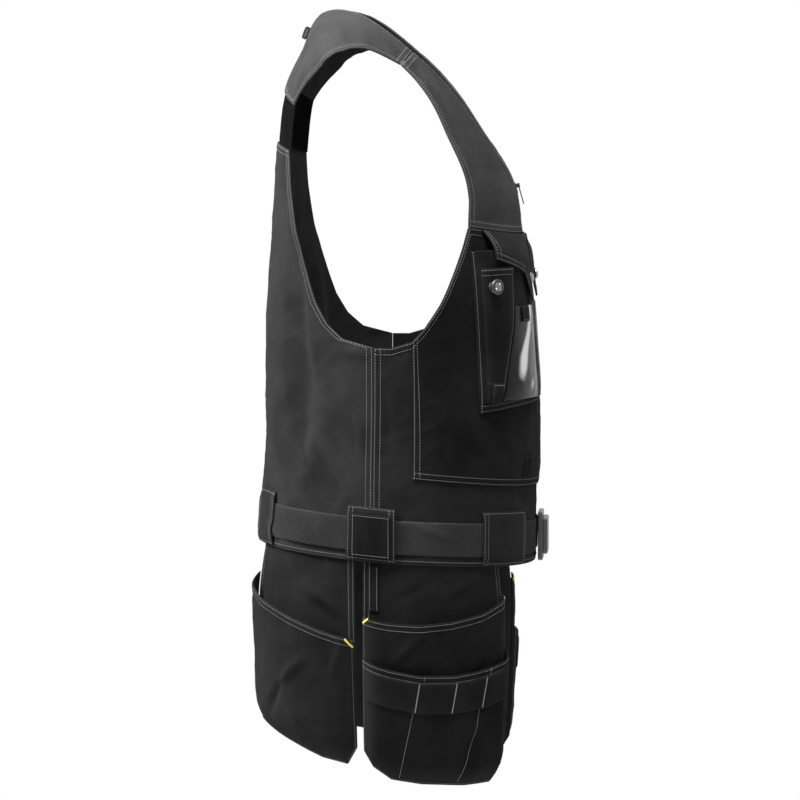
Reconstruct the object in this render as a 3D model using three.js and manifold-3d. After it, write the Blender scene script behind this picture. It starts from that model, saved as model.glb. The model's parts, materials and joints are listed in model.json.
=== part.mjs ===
import * as THREE from 'three';
import { mergeVertices } from 'three/addons/utils/BufferGeometryUtils.js';
import Module from 'manifold-3d';

// A utility work vest, held open as it is worn. Millimetres, +Z up, front towards -Y, the wearer's left at +X.
// The origin is the shoulder seat: the mid-line point at the height where the yoke rests on the shoulders.

// Body of the vest
const torsoDrop = 598; // shoulder seat down to the hem at the centre front
const frontDepth = 195; // furthest reach of the front
const backDepth = 120; // furthest reach of the back
const halfWidth = 224; // half the width that the sections' shares are taken of
const cornerFullness = 0.1; // how much fuller than an ellipse a section is
const frontEdge = 7; // the front panels' edge, from the mid-line

// Cloth, seams and layers
const twill = 1.5;
const knit = 1.2;
const vinyl = 1;
const webbing = 2.2;
const seamGap = 0.5; // between two pieces that meet at a seam
const layerGap = 0.8; // between a piece and the one that it is sewn on

// Pockets on the chest
const chestPocketHeight = 182;
const chestPocketRise = 178; // its lower outer corner above the hem
const chestPocketDepth = 11;
const penPocketDepth = 3;
const penPocketHeight = 150;
const penLoopHeight = 22;
const idWindowHeight = 104;
const tabHeight = 18;
const windowSlack = 0.6; // the stiff vinyl stands a little off the cloth
const flapHeight = 34; // at the flap's outer side
const tongueDrop = 42; // the flap's tongue below that
const flapStand = 5; // how far its lower edge stands off the full pocket

// Lower front pocket and its label
const frontPocketDepth = 5;
const frontPocketRise = 84; // above the hem
const labelWidth = 24;
const labelHeight = 27;
const labelRise = 100;

// Belt, its loops and its buckle
const beltWidth = 38;
const beltRise = 30; // its middle above the hem
const loopHeight = 61;
const sideLoopHeight = 61;
const buckleHeight = 56;
const socketLength = 38;
const plugLength = 24;
const buckleBack = 5.5; // thickness of the buckle's lower tier
const buckleFront = 6; // and of its upper tier

// Holsters below the hem
const holsterDrop = 246; // hem to the lowest edge
const holsterTuck = 26; // backing hidden behind the hem
const holsterDepth = 14; // how far a full pocket wall stands off its backing
const holsterFlare = 9; // how far the backing swings out below the hem
const stripHeight = 34;
const strapWidth = 12;

// Hard pieces
const buttonHead = 17;
const buttonPost = 7;
const buttonStand = 9;
const studDiameter = 12;
const studHeight = 2.4;
const teethWidth = 5.4;
const teethHeight = 3;
const tapeWidth = 15;
const sliderWidth = 10;
const sliderLength = 13;
const sliderHeight = 3.4;
const sliderCheek = 1.3;
const pullWidth = 6.5;
const pullLength = 22;
const pullThickness = 1.2;
const hangerWidth = 14;
const hangerLength = 62;
const hangerStand = 5;

const SIDES = [['_r', -1], ['_l', 1]];

const finish = {
  twill: { color: 0x262626, roughness: 0.95, metalness: 0 },
  yoke: { color: 0x2b2b2b, roughness: 0.95, metalness: 0 },
  knit: { color: 0x1d1d1f, roughness: 1, metalness: 0 },
  tape: { color: 0x1f1f1f, roughness: 0.9, metalness: 0 },
  webbing: { color: 0x303030, roughness: 0.85, metalness: 0 },
  label: { color: 0x101010, roughness: 0.8, metalness: 0 },
  vinyl: { color: 0xb8bcbe, roughness: 0.2, metalness: 0 },
  plastic: { color: 0x2e3032, roughness: 0.45, metalness: 0 },
  metal: { color: 0x8c8f92, roughness: 0.35, metalness: 1 },
};

const wasm = await Module();
wasm.setup();

const vest = new THREE.Group();

// The arch of sections runs from the hem at the front (row 0) up over the shoulders (row 11) and down to
// the hem at the back (row 22). The columns are the centre's reach and level, the half width, and the side's
// reach and level. Reaches are shares of the front or back depth, levels of the torso's drop.
const FRONT_SECTIONS = [
  [-0.994, -0.997, 0.924, -0.341, -0.982],
  [-0.998, -0.912, 0.906, -0.338, -0.888],
  [-1.0, -0.815, 0.893, -0.338, -0.783],
  [-0.999, -0.718, 0.892, -0.342, -0.683],
  [-0.987, -0.596, 0.903, -0.339, -0.558],
  [-0.961, -0.49, 0.913, -0.322, -0.454],
  [-0.914, -0.371, 0.917, -0.291, -0.329],
  [-0.864, -0.273, 0.917, -0.246, -0.238],
  [-0.697, -0.182, 0.914, -0.214, -0.174],
  [-0.53, -0.098, 0.91, -0.17, -0.14],
  [-0.313, -0.017, 0.906, -0.096, -0.133],
  [0.0, 0.06, 0.904, -0.025, -0.116],
];
const BACK_SECTIONS = [
  [0.398, 0.046, 0.907, 0.008, -0.109],
  [0.574, -0.021, 0.912, 0.01, -0.131],
  [0.739, -0.096, 0.917, -0.01, -0.186],
  [0.807, -0.193, 0.919, -0.083, -0.261],
  [0.849, -0.304, 0.918, -0.215, -0.345],
  [0.873, -0.426, 0.913, -0.322, -0.454],
  [0.899, -0.554, 0.903, -0.339, -0.558],
  [0.912, -0.694, 0.892, -0.342, -0.683],
  [0.934, -0.789, 0.893, -0.338, -0.783],
  [0.967, -0.877, 0.906, -0.338, -0.888],
  [1.0, -0.954, 0.924, -0.341, -0.982],
];
const RIDGE = FRONT_SECTIONS.length - 1;
const BACK_HEM = RIDGE + BACK_SECTIONS.length;
const SECTIONS = [
  ...FRONT_SECTIONS.map((row) => scaleSection(row, frontDepth)),
  ...BACK_SECTIONS.map((row) => scaleSection(row, backDepth)),
];

function scaleSection([reach, level, width, sideReach, sideLevel], depth) {
  return [reach * depth, level * torsoDrop, width * halfWidth, sideReach * backDepth, sideLevel * torsoDrop];
}

// A smooth value between the rows of a table, with straight ends
function between(table, row) {
  const last = table.length - 1;
  const from = Math.min(Math.max(Math.floor(row), 0), last - 1);
  const t = row - from;
  return table[0].map((_, column) => {
    const b = table[from][column];
    const c = table[from + 1][column];
    const a = from > 0 ? table[from - 1][column] : 2 * b - c;
    const d = from + 2 <= last ? table[from + 2][column] : 2 * c - b;
    return b + 0.5 * t * (c - a + t * (2 * a - 5 * b + 4 * c - d + t * (3 * (b - c) + d - a)));
  });
}

function lerp(from, to, t) {
  return from + (to - from) * t;
}

// A value at x on straight lines between [x, value] pairs
function along(pairs, x) {
  const next = pairs.findIndex(([at]) => at >= x);
  if (next === 0) return pairs[0][1];
  if (next < 0) return pairs[pairs.length - 1][1];
  const [x0, y0] = pairs[next - 1];
  const [x1, y1] = pairs[next];
  return lerp(y0, y1, (x - x0) / (x1 - x0));
}

function steps(count) {
  return Array.from({ length: count + 1 }, (_, i) => i / count);
}

// Rises from 0 at an edge to 1 at the share given
function ramp(distance, share) {
  return Math.sin((Math.PI / 2) * Math.min(Math.max(distance / share, 0), 1));
}

// Long soft folds of the back: angle from the centre back, half width in degrees, rows, depth
const FOLDS = [
  { angle: 22, spread: 13, from: 15.5, to: 21, lean: 1.2, depth: 3.5 },
  { angle: 46, spread: 11, from: 16.5, to: 21.2, lean: 1.5, depth: -4.5 },
  { angle: 64, spread: 10, from: 18.6, to: 21.4, lean: -6, depth: 3.5 },
];

function foldDepth(row, angle) {
  return FOLDS.reduce((sum, fold) => {
    const run = (row - fold.from) / (fold.to - fold.from);
    if (run <= 0 || run >= 1) return sum;
    const off = (Math.abs(angle) - fold.angle - fold.lean * (row - fold.from)) / fold.spread;
    return sum + fold.depth * Math.sin(Math.PI * run) * Math.exp(-2 * off * off);
  }, 0);
}

// A point of the shell, at an angle from the mid-line: 0 is the centre, 90 the side, right is negative.
// Rows below 0 and beyond the back hem hang on below the hem, one row for the holsters' drop.
function bareShell(row, angle) {
  const hang = Math.max(-row, row - BACK_HEM, 0);
  const [reach, level, width, sideReach, sideLevel] = between(SECTIONS, Math.min(Math.max(row, 0), BACK_HEM));
  const turn = THREE.MathUtils.degToRad(angle);
  const cos = Math.cos(turn);
  const sin = Math.sin(turn);
  const taper = 1 - HANG_TAPER * hang * hang;
  return new THREE.Vector3(
    width * taper * sin * (1 + cornerFullness * cos * cos),
    sideReach + (reach - sideReach) * taper * cos * (1 + cornerFullness * sin * sin),
    sideLevel + (level - sideLevel) * cos - hang * holsterDrop,
  );
}

const HALF_TURN = 180;
const HANG_TAPER = 0.07;
const ROW_STEP = 0.02;
const ANGLE_STEP = 0.5;

function shellNormal(row, angle) {
  const aside = bareShell(row, angle + ANGLE_STEP).sub(bareShell(row, angle - ANGLE_STEP));
  const onward = bareShell(row + ROW_STEP, angle).sub(bareShell(row - ROW_STEP, angle));
  return aside.cross(onward).normalize();
}

function shell(row, angle, lift) {
  return bareShell(row, angle).addScaledVector(shellNormal(row, angle), lift + foldDepth(row, angle));
}

// The row at a level, going round the body: turn 0 is the centre front, 90 the side, 180 the centre back
function around(turn, level) {
  const atFront = Math.abs(turn) <= 90;
  const angle = atFront ? turn : Math.sign(turn) * (HALF_TURN - Math.abs(turn));
  let low = atFront ? -2 : BACK_HEM + 2;
  let high = RIDGE;
  for (let i = 0; i < 40; i += 1) {
    const middle = (low + high) / 2;
    if (bareShell(middle, angle).z < level) low = middle;
    else high = middle;
  }
  return [low, angle];
}

function hemLevel(turn) {
  const atFront = Math.abs(turn) <= 90;
  return bareShell(atFront ? 0 : BACK_HEM, atFront ? turn : HALF_TURN - Math.abs(turn)).z;
}

// Degrees round the body for a width, at a turn and level
function turnFor(width, turn, level) {
  const place = (at) => bareShell(...around(at, level));
  return (2 * width) / place(turn + 1).distanceTo(place(turn - 1));
}

// The angle at a distance from the mid-line on the front
function frontAngle(distance, row) {
  const [, , width] = between(SECTIONS, row);
  return THREE.MathUtils.radToDeg(Math.asin(distance / (width * (1 + cornerFullness))));
}

function closed(positions, faces) {
  const geometry = new THREE.BufferGeometry();
  geometry.setAttribute('position', new THREE.Float32BufferAttribute(positions.flatMap((p) => p.toArray()), 3));
  const volume = faces.reduce((sum, [a, b, c]) => {
    return sum + positions[a].dot(new THREE.Vector3().crossVectors(positions[b], positions[c]));
  }, 0);
  geometry.setIndex(faces.flatMap(([a, b, c]) => (volume > 0 ? [a, b, c] : [a, c, b])));
  return geometry;
}

function add(name, geometry, look) {
  const shown = geometry.index ? geometry.toNonIndexed() : geometry;
  shown.computeVertexNormals();
  const mesh = new THREE.Mesh(shown, new THREE.MeshStandardMaterial(finish[look]));
  mesh.name = name;
  vest.add(mesh);
  return mesh;
}

// Draws the two rims of a grid's rows or columns in by the seam gap
function drawIn(grid, trim) {
  const moved = grid.map((line) => line.map((p) => p.clone()));
  const pull = (i, j, ni, nj) => {
    const step = grid[ni][nj].clone().sub(grid[i][j]);
    moved[i][j].addScaledVector(step.normalize(), trim);
  };
  const lastI = grid.length - 1;
  const lastJ = grid[0].length - 1;
  for (let j = 0; j <= lastJ; j += 1) {
    pull(0, j, 1, j);
    pull(lastI, j, lastI - 1, j);
  }
  for (let i = 0; i <= lastI; i += 1) {
    pull(i, 0, i, 1);
    pull(i, lastJ, i, lastJ - 1);
  }
  return moved;
}

// A wall of cloth between two grids of points: place(u, v) gives row, angle and lift of its inner face
function cloth(name, look, { us, vs, place, thick = twill, trim = seamGap / 2 }) {
  const grids = [0, thick].map((rise) => {
    return drawIn(us.map((u) => vs.map((v) => {
      const [row, angle, lift] = place(u, v);
      return shell(row, angle, lift + rise);
    })), trim);
  });
  const lines = us.length;
  const dots = vs.length;
  const at = (layer, i, j) => (layer * lines + i) * dots + j;
  const faces = [];
  const quad = (a, b, c, d) => faces.push([a, b, c], [a, c, d]);
  for (let i = 0; i + 1 < lines; i += 1) {
    for (let j = 0; j + 1 < dots; j += 1) {
      quad(at(1, i, j), at(1, i + 1, j), at(1, i + 1, j + 1), at(1, i, j + 1));
      quad(at(0, i, j), at(0, i, j + 1), at(0, i + 1, j + 1), at(0, i + 1, j));
    }
    quad(at(0, i, 0), at(0, i + 1, 0), at(1, i + 1, 0), at(1, i, 0));
    quad(at(1, i, dots - 1), at(1, i + 1, dots - 1), at(0, i + 1, dots - 1), at(0, i, dots - 1));
  }
  for (let j = 0; j + 1 < dots; j += 1) {
    quad(at(1, 0, j), at(1, 0, j + 1), at(0, 0, j + 1), at(0, 0, j));
    quad(at(0, lines - 1, j), at(0, lines - 1, j + 1), at(1, lines - 1, j + 1), at(1, lines - 1, j));
  }
  return add(name, closed(grids.flat(2), faces), look);
}

// The armhole's edge, from the underarm up the front, over the shoulder and down the back
const UNDERARM_ROW = 3.84;
const SIDE_SEAM = 97; // turn of the seam between front and back
const CHEST_SEAM_ROW = 6;
const YOKE_SEAM_ROW = 10;
const SHOULDER = [
  { row: CHEST_SEAM_ROW, outer: 54, neck: 0 },
  { row: 6.5, outer: 52, neck: 0 },
  { row: 6.9, outer: 51.8, neck: 0 },
  { row: 7.12, outer: 51.8, neck: 0 },
  { row: 7.35, outer: 51.7, neck: 4.8 },
  { row: 7.6, outer: 51.5, neck: 8 },
  { row: 8, outer: 50.7, neck: 11 },
  { row: 8.6, outer: 48.8, neck: 14.8 },
  { row: 9.2, outer: 46.8, neck: 18.2 },
  { row: 9.6, outer: 45.6, neck: 21 },
  { row: YOKE_SEAM_ROW, outer: 45, neck: 24 },
];
const YOKE = [
  { neckRow: YOKE_SEAM_ROW, neck: 24, outerRow: YOKE_SEAM_ROW, outer: 45 },
  { neckRow: 10.5, neck: 25.5, outerRow: 10.5, outer: 51 },
  { neckRow: 10.85, neck: 26, outerRow: 11, outer: 57 },
  { neckRow: 11.1, neck: 25, outerRow: 11.5, outer: 60.5 },
  { neckRow: 11.3, neck: 22.5, outerRow: 12.1, outer: 60.5 },
  { neckRow: 11.45, neck: 19.5, outerRow: 12.7, outer: 56.5 },
  { neckRow: 11.6, neck: 16, outerRow: 13.3, outer: 49.5 },
  { neckRow: 11.7, neck: 13, outerRow: 14.1, outer: 41 },
  { neckRow: 11.8, neck: 10, outerRow: 14.08, outer: 30 },
  { neckRow: 11.9, neck: 6, outerRow: 14.04, outer: 17 },
  { neckRow: 12, neck: 0, outerRow: 14, outer: 0 },
];
const BACK_TOP_ROW = 15.02;
const BACK_PANEL = [
  { row: BACK_TOP_ROW, outer: 39 },
  { row: 15.7, outer: 41.2 },
  { row: 16.36, outer: 45.2 },
  { row: 16.95, outer: 50.9 },
  { row: 17.5, outer: 57.5 },
  { row: 17.82, outer: 63.5 },
  { row: 18.04, outer: 70.6 },
  { row: 18.16, outer: HALF_TURN - SIDE_SEAM },
  { row: 18.8, outer: HALF_TURN - SIDE_SEAM },
  { row: 19.5, outer: HALF_TURN - SIDE_SEAM },
  { row: 20.2, outer: HALF_TURN - SIDE_SEAM },
  { row: 21, outer: HALF_TURN - SIDE_SEAM },
  { row: BACK_HEM, outer: HALF_TURN - SIDE_SEAM },
];

function backPanels() {
  const half = YOKE.map((line) => ({ ...line, side: 1 }));
  const other = half.slice(0, -1).reverse().map((line) => ({ ...line, side: -1 }));
  const ring = [...half, ...other].map(({ side, neckRow, neck, outerRow, outer }) => {
    return [neckRow, side * neck, outerRow, side * outer];
  });
  cloth('back_yoke', 'yoke', {
    us: steps(2 * ring.length - 2).map((u) => u * (ring.length - 1)),
    vs: steps(4),
    place: (i, v) => {
      const from = ring[Math.floor(i)];
      const to = ring[Math.ceil(i)];
      const [neckRow, neck, outerRow, outer] = from.map((value, k) => lerp(value, to[k], i - Math.floor(i)));
      return [lerp(neckRow, outerRow, v), lerp(neck, outer, v), 0];
    },
  });
  const insertTop = YOKE.slice(7).map((line) => [line.outer, line.outerRow]).reverse();
  const corner = YOKE[7].outer;
  const halfway = [0, 8.5, 17, 23.5, 30, 35.5, corner].map((angle) => angle / corner);
  const across = [...halfway.slice(1).reverse().map((u) => -u), ...halfway];
  cloth('back_stretch_insert', 'knit', {
    us: across,
    vs: steps(3),
    thick: knit,
    place: (u, v) => {
      const angle = u * lerp(corner, BACK_PANEL[0].outer, v);
      return [lerp(along(insertTop, Math.abs(angle)), BACK_TOP_ROW, v), angle, 0];
    },
  });
  cloth('back_panel', 'yoke', {
    us: steps(20).map((u) => 2 * u - 1),
    vs: BACK_PANEL.map((_, i) => i),
    place: (u, i) => [BACK_PANEL[i].row, u * BACK_PANEL[i].outer, 0],
  });
}

function hangerLoop() {
  const row = 12.6;
  const halfTurn = frontAngle(hangerLength / 2, row);
  cloth('hanger_loop', 'tape', {
    us: [-1, -0.8, -0.5, 0, 0.5, 0.8, 1],
    vs: [-0.5, 0.5],
    place: (u, v) => {
      const stand = hangerStand * ramp(1 - Math.abs(u), 0.5);
      return [row + (v * hangerWidth) / rowLength(row, 0), u * halfTurn, twill + layerGap + stand];
    },
  });
}

// Millimetres along the shell for one row
function rowLength(row, angle) {
  return bareShell(row + ROW_STEP, angle).distanceTo(bareShell(row - ROW_STEP, angle)) / (2 * ROW_STEP);
}

const POCKET_REAR = 82; // the lower front pocket's rear edge

// Columns of the front's base layer: its angle and the row where it ends at the top
const FRONT = [
  ...[0, 8, 16, 24, 32, 40, 47, 54].map((angle) => ({ angle, top: CHEST_SEAM_ROW })),
  { angle: 57.7, top: 5.69 },
  { angle: 65, top: 5.14 },
  { angle: 70.3, top: 4.71 },
  { angle: 77, top: 4.24 },
  { angle: POCKET_REAR, top: 3.98 },
];
const FRONT_BASE = [...FRONT, { angle: 90, top: UNDERARM_ROW }, { angle: SIDE_SEAM, top: UNDERARM_ROW }];

function frontPanels(suffix, side) {
  cloth(`front_shoulder${suffix}`, 'yoke', {
    us: SHOULDER.map((_, i) => i),
    vs: [0, 0.14, 0.3, 0.48, 0.66, 0.84, 1],
    place: (i, v) => {
      const { row, outer, neck } = SHOULDER[i];
      const inner = Math.max(neck, frontAngle(frontEdge, row));
      return [row, side * lerp(inner, outer, v), 0];
    },
  });
  cloth(`front_panel${suffix}`, 'twill', {
    us: FRONT_BASE.map((_, i) => i),
    vs: steps(8),
    place: (i, v) => {
      const { angle, top } = FRONT_BASE[i];
      const row = v * top;
      if (angle > 90) return [BACK_HEM - row, side * (HALF_TURN - angle), 0];
      return [row, side * Math.max(angle, frontAngle(frontEdge, row)), 0];
    },
  });
  cloth(`front_pocket${suffix}`, 'twill', {
    us: FRONT.map((_, i) => i),
    vs: steps(7),
    place: (i, v) => {
      const { angle, top } = FRONT[i];
      const row = lerp(FRONT_POCKET_ROW, top, v);
      const inner = Math.max(angle, frontAngle(frontEdge, row));
      return [row, side * inner, LAYER_1 + frontPocketLift(angle, row)];
    },
  });
}

const LAYER_1 = twill + layerGap;
const FRONT_POCKET_ROW = frontPocketRise / rowLength(0.7, 0);

function frontPocketLift(angle, row) {
  const below = 1 - ramp(row - 2.9, 1.2);
  const low = ramp(row - FRONT_POCKET_ROW, 0.8);
  return frontPocketDepth * ramp(POCKET_REAR - Math.abs(angle), 22) * low * below * ramp(Math.abs(angle), 18);
}

// The chest pocket, in turns from the centre front and levels above the hem
const CHEST_OUTER = 56;
const CHEST_INNER = 13;
const chestBottom = [
  [CHEST_INNER, chestPocketRise + 9],
  [38, chestPocketRise + 5],
  [CHEST_OUTER, chestPocketRise],
];
const chestTop = chestPocketRise + chestPocketHeight;

function chestBase(turn, rise) {
  const bottom = along(chestBottom, turn);
  const stand = ramp(turn - CHEST_INNER, 34) * ramp(CHEST_OUTER - turn, 5) * ramp(rise - bottom, 30);
  const [row, angle] = around(turn, rise - torsoDrop);
  return 2 * LAYER_1 + frontPocketLift(angle, row) + chestPocketDepth * stand;
}

function onChest(side, turn, rise, lift) {
  const [row, angle] = around(turn, rise - torsoDrop);
  return [row, side * angle, lift];
}

// The pen pocket's inner edge slants, and the window takes the rest of the chest pocket
const penInner = [
  [chestPocketRise + 10, 47.5],
  [chestPocketRise + 34, 46.3],
  [chestPocketRise + 56, 44.2],
  [chestPocketRise + 100, 39.8],
  [chestTop, 36.5],
];
const penBottom = chestPocketRise + 12;
const penTop = penBottom + penPocketHeight;
const PEN_OUTER = 54;
const WINDOW_INNER = 16.5;
const windowBottom = chestPocketRise + 14;

function penLift(turn, rise) {
  const inner = along(penInner, rise);
  const bulge = ramp(turn - inner, 5) * ramp(PEN_OUTER - turn, 5);
  return chestBase(turn, rise) + LAYER_1 + penPocketDepth * bulge;
}

function windowLift(turn, rise) {
  return chestBase(turn, rise) + LAYER_1 + windowSlack;
}

// The flap hangs from the chest seam. Its lower edge drops below its outer corner, as shares of the tongue's drop.
const FLAP_OUTER = 48;
const flapEdge = [
  [8, 0.3],
  [12, 0.66],
  [15.5, 0.94],
  [19.5, 1],
  [24, 0.66],
  [28, 0.3],
  [33, 0.2],
  [FLAP_OUTER, 0],
];

function flapPlace(turn, share) {
  const drop = share * (flapHeight + tongueDrop * along(flapEdge, turn));
  const opened = ramp(drop, flapHeight * 0.8) * ramp(turn - 6, 12);
  const top = torsoDrop + bareShell(CHEST_SEAM_ROW, turn).z - twill;
  const full = chestPocketDepth * ramp(turn - CHEST_INNER, 34);
  return [top - drop, 2 * LAYER_1 + opened * (full + flapStand)];
}

function chestPieces(suffix, side) {
  cloth(`chest_pocket${suffix}`, 'twill', {
    us: [CHEST_OUTER, 54.4, 52, 48, 42, 36, 30, 24, 18, CHEST_INNER],
    vs: [0, 0.06, 0.14, 0.3, 0.48, 0.66, 0.84, 1],
    place: (turn, v) => {
      const rise = lerp(along(chestBottom, turn), chestTop, v);
      return onChest(side, turn, rise, chestBase(turn, rise));
    },
  });
  cloth(`pen_pocket${suffix}`, 'twill', {
    us: [0, 0.15, 0.4, 0.7, 1],
    vs: [0, 0.12, 0.3, 0.5, 0.75, 1],
    place: (u, v) => {
      const rise = lerp(penBottom, penTop, v);
      const turn = lerp(PEN_OUTER, along(penInner, rise) + 0.6, u);
      return onChest(side, turn, rise, penLift(turn, rise));
    },
  });
  cloth(`id_window${suffix}`, 'vinyl', {
    us: steps(7),
    vs: steps(6),
    thick: vinyl,
    place: (u, v) => {
      const rise = windowBottom + v * idWindowHeight;
      const turn = lerp(along(penInner, rise) - 0.6, WINDOW_INNER, u);
      return onChest(side, turn, rise, windowLift(turn, rise));
    },
  });
  cloth(`id_tab${suffix}`, 'tape', {
    us: [27, 30.5, 34],
    vs: steps(3),
    place: (turn, v) => {
      const rise = windowBottom + idWindowHeight - tabHeight * (1 - v);
      return onChest(side, turn, rise, windowLift(turn, rise) + vinyl + layerGap);
    },
  });
  cloth(`pen_loop${suffix}`, 'tape', {
    us: [48.5, 50, 51.5, 53],
    vs: steps(2),
    place: (turn, v) => {
      const rise = penBottom + penLoopHeight * v;
      return onChest(side, turn, rise, penLift(turn, rise) + LAYER_1);
    },
  });
  cloth(`chest_flap${suffix}`, 'twill', {
    us: [FLAP_OUTER, 43, 38, 33, 28, 24, 19.5, 15.5, 12, 8],
    vs: [0, 0.2, 0.45, 0.7, 1],
    place: (turn, v) => {
      const [rise, lift] = flapPlace(turn, v);
      return onChest(side, turn, rise, lift);
    },
  });
  const [studRise, flapLift] = flapPlace(STUD_TURN, 0.66);
  placeOn(`flap_stud${suffix}`, studShape(), side, STUD_TURN, studRise, flapLift + LAYER_1);
  const buttonLift = penLift(BUTTON_TURN, buttonRise) + twill + seamGap / 2;
  placeOn(`tool_button${suffix}`, buttonShape(), side, BUTTON_TURN, buttonRise, buttonLift);
}

const STUD_TURN = 19.5;
const BUTTON_TURN = 51;
const buttonRise = penTop - 21;

// Stands a turned metal piece on the shell, its axis along the shell's normal
function placeOn(name, geometry, side, turn, rise, lift) {
  const [row, angle, out] = onChest(side, turn, rise, lift);
  const mesh = add(name, geometry, 'metal');
  mesh.position.copy(shell(row, angle, out));
  mesh.quaternion.setFromUnitVectors(new THREE.Vector3(0, 0, 1), shellNormal(row, angle));
}

// A turned piece along +Z from pairs of radius and height
function turned(profile, sides) {
  const points = profile.map(([radius, height]) => new THREE.Vector2(radius, height));
  return new THREE.LatheGeometry(points, sides).rotateX(Math.PI / 2);
}

function solidOf(geometry) {
  const bare = geometry.clone();
  ['normal', 'uv'].forEach((key) => bare.deleteAttribute(key));
  const merged = mergeVertices(bare, 1e-4);
  return new wasm.Manifold(new wasm.Mesh({
    numProp: 3,
    vertProperties: new Float32Array(merged.attributes.position.array),
    triVerts: new Uint32Array(merged.index.array),
  }));
}

function geometryOf(solid) {
  const { vertProperties, triVerts } = solid.getMesh();
  const geometry = new THREE.BufferGeometry();
  geometry.setAttribute('position', new THREE.BufferAttribute(new Float32Array(vertProperties), 3));
  geometry.setIndex(new THREE.BufferAttribute(new Uint32Array(triVerts), 1));
  return geometry;
}

function buttonShape() {
  const head = buttonHead / 2;
  const post = buttonPost / 2;
  return turned([
    [0, 0],
    [head * 0.72, 0],
    [head * 0.72, 1.2],
    [post, 1.8],
    [post, buttonStand - 3.6],
    [head * 0.86, buttonStand - 3],
    [head, buttonStand - 1.7],
    [head * 0.86, buttonStand - 0.5],
    [head * 0.6, buttonStand],
    [0, buttonStand],
  ], 16);
}

function studShape() {
  const radius = studDiameter / 2;
  return turned([
    [0, 0],
    [radius, 0],
    [radius, studHeight * 0.4],
    [radius * 0.7, studHeight],
    [0, studHeight],
  ], 14);
}

const LABEL_TURN = 26;

function label() {
  const middle = labelRise + labelHeight / 2 - torsoDrop;
  const halfTurn = turnFor(labelWidth, LABEL_TURN, middle) / 2;
  cloth('pocket_label_r', 'label', {
    us: [-1, 0, 1],
    vs: [-1, 0, 1],
    thick: 1,
    place: (u, v) => {
      const [row, angle] = around(LABEL_TURN + u * halfTurn, middle + (v * labelHeight) / 2);
      return [row, -angle, 2 * LAYER_1 + frontPocketLift(angle, row)];
    },
  });
}

// The belt runs from one side of the buckle round the back to the other
const BELT_END = 7;

function belt() {
  const turns = steps(42).map((u) => lerp(BELT_END, 2 * HALF_TURN - BELT_END, u));
  cloth('belt_webbing', 'webbing', {
    us: turns,
    vs: [-0.5, 0.5],
    thick: webbing,
    place: (turn, v) => {
      const signed = turn > HALF_TURN ? turn - 2 * HALF_TURN : turn;
      const [row, angle] = around(signed, hemLevel(signed) + beltRise + v * beltWidth);
      return [row, angle, LAYER_1];
    },
  });
}

// A loop lies on the cloth at its ends and passes over the belt. Its rows are shares of its height.
const LOOP_ROWS = [0, 0.06, 0.16, 0.32, 0.5, 0.68, 0.85, 0.94, 1];
const PATCH_ROWS = LOOP_ROWS.slice(1, 7);

function loopLift(share) {
  return LAYER_1 + ramp(share, 0.16) * ramp(1 - share, 0.16) * (webbing + layerGap);
}

function beltLoop(name, side, from, to, height, rows = LOOP_ROWS, base = 0) {
  const count = Math.max(2, Math.round((to - from) / 7));
  cloth(name, 'twill', {
    us: steps(count).map((u) => lerp(from, to, u)),
    vs: rows,
    place: (turn, share) => {
      const [row, angle] = around(turn, hemLevel(turn) + 1 + share * height);
      return [row, side * angle, base + loopLift(share)];
    },
  });
}

function beltLoops(suffix, side) {
  beltLoop(`back_loop${suffix}`, side, 143.5, 160, loopHeight);
  beltLoop(`side_loop${suffix}`, side, 88.3, 106.3, sideLoopHeight);
  beltLoop(`side_loop_patch${suffix}`, side, 90.3, 104.3, sideLoopHeight, PATCH_ROWS, LAYER_1);
  beltLoop(`front_loop${suffix}`, side, 26.5, 53.4, loopHeight);
}

// Holsters: turns from the centre front, drops as shares of the holsters' drop below the hem
const REAR = { front: 103.5, rear: 156 };
const FORE = { front: 42, rear: 100.5 };
const rearBottom = [
  [103.5, 0.86],
  [107.5, 0.94],
  [118, 0.925],
  [130, 0.885],
  [145, 0.84],
  [156, 0.81],
];
const rearMouth = [
  [103.5, 0.36],
  [116, 0.325],
  [128.5, 0.28],
  [143, 0.225],
  [152, 0.165],
  [156, 0.13],
];
const foreBottom = [
  [42, 0.9],
  [48, 0.985],
  [60, 1],
  [78, 1],
  [90, 0.985],
  [97, 0.935],
  [100.5, 0.865],
];
const upperMouth = [
  [42, 0.12],
  [47, 0.15],
  [56, 0.205],
  [68, 0.245],
  [80, 0.265],
  [90, 0.262],
  [100.5, 0.25],
];
const lowerMouth = [
  [42, 0.375],
  [47, 0.41],
  [56, 0.455],
  [68, 0.485],
  [80, 0.49],
  [90, 0.47],
  [100.5, 0.44],
];
const TUCK = -holsterTuck / holsterDrop;
const BEHIND = -twill - layerGap; // outer lift of what is tucked behind the hem is just clear of the panel

function holsterPoint(side, turn, drop, lift) {
  const level = hemLevel(turn) - drop * holsterDrop;
  const [row, angle] = around(turn, level);
  const flare = holsterFlare * ramp(Math.abs(turn - 90) - 20, 60) * ramp(drop - 0.01, 0.3);
  return [row, side * angle, BEHIND + flare + lift];
}

function holsterBacking(name, side, span, bottom, count) {
  cloth(name, 'twill', {
    us: steps(count).map((u) => lerp(span.rear, span.front, u)),
    vs: [0, 0.1, 0.22, 0.36, 0.52, 0.68, 0.84, 1],
    place: (turn, v) => holsterPoint(side, turn, lerp(TUCK, along(bottom, turn), v), 0),
  });
}

function pouchLift(span, bottom, mouth, turn, drop) {
  const sides = ramp(turn - span.front, 7) * ramp(span.rear - turn, 7);
  const low = along(bottom, turn);
  const open = lerp(1, 0.75, (drop - along(mouth, turn)) / (low - along(mouth, turn)));
  return sides * open * ramp(low - drop, 0.12);
}

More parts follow.
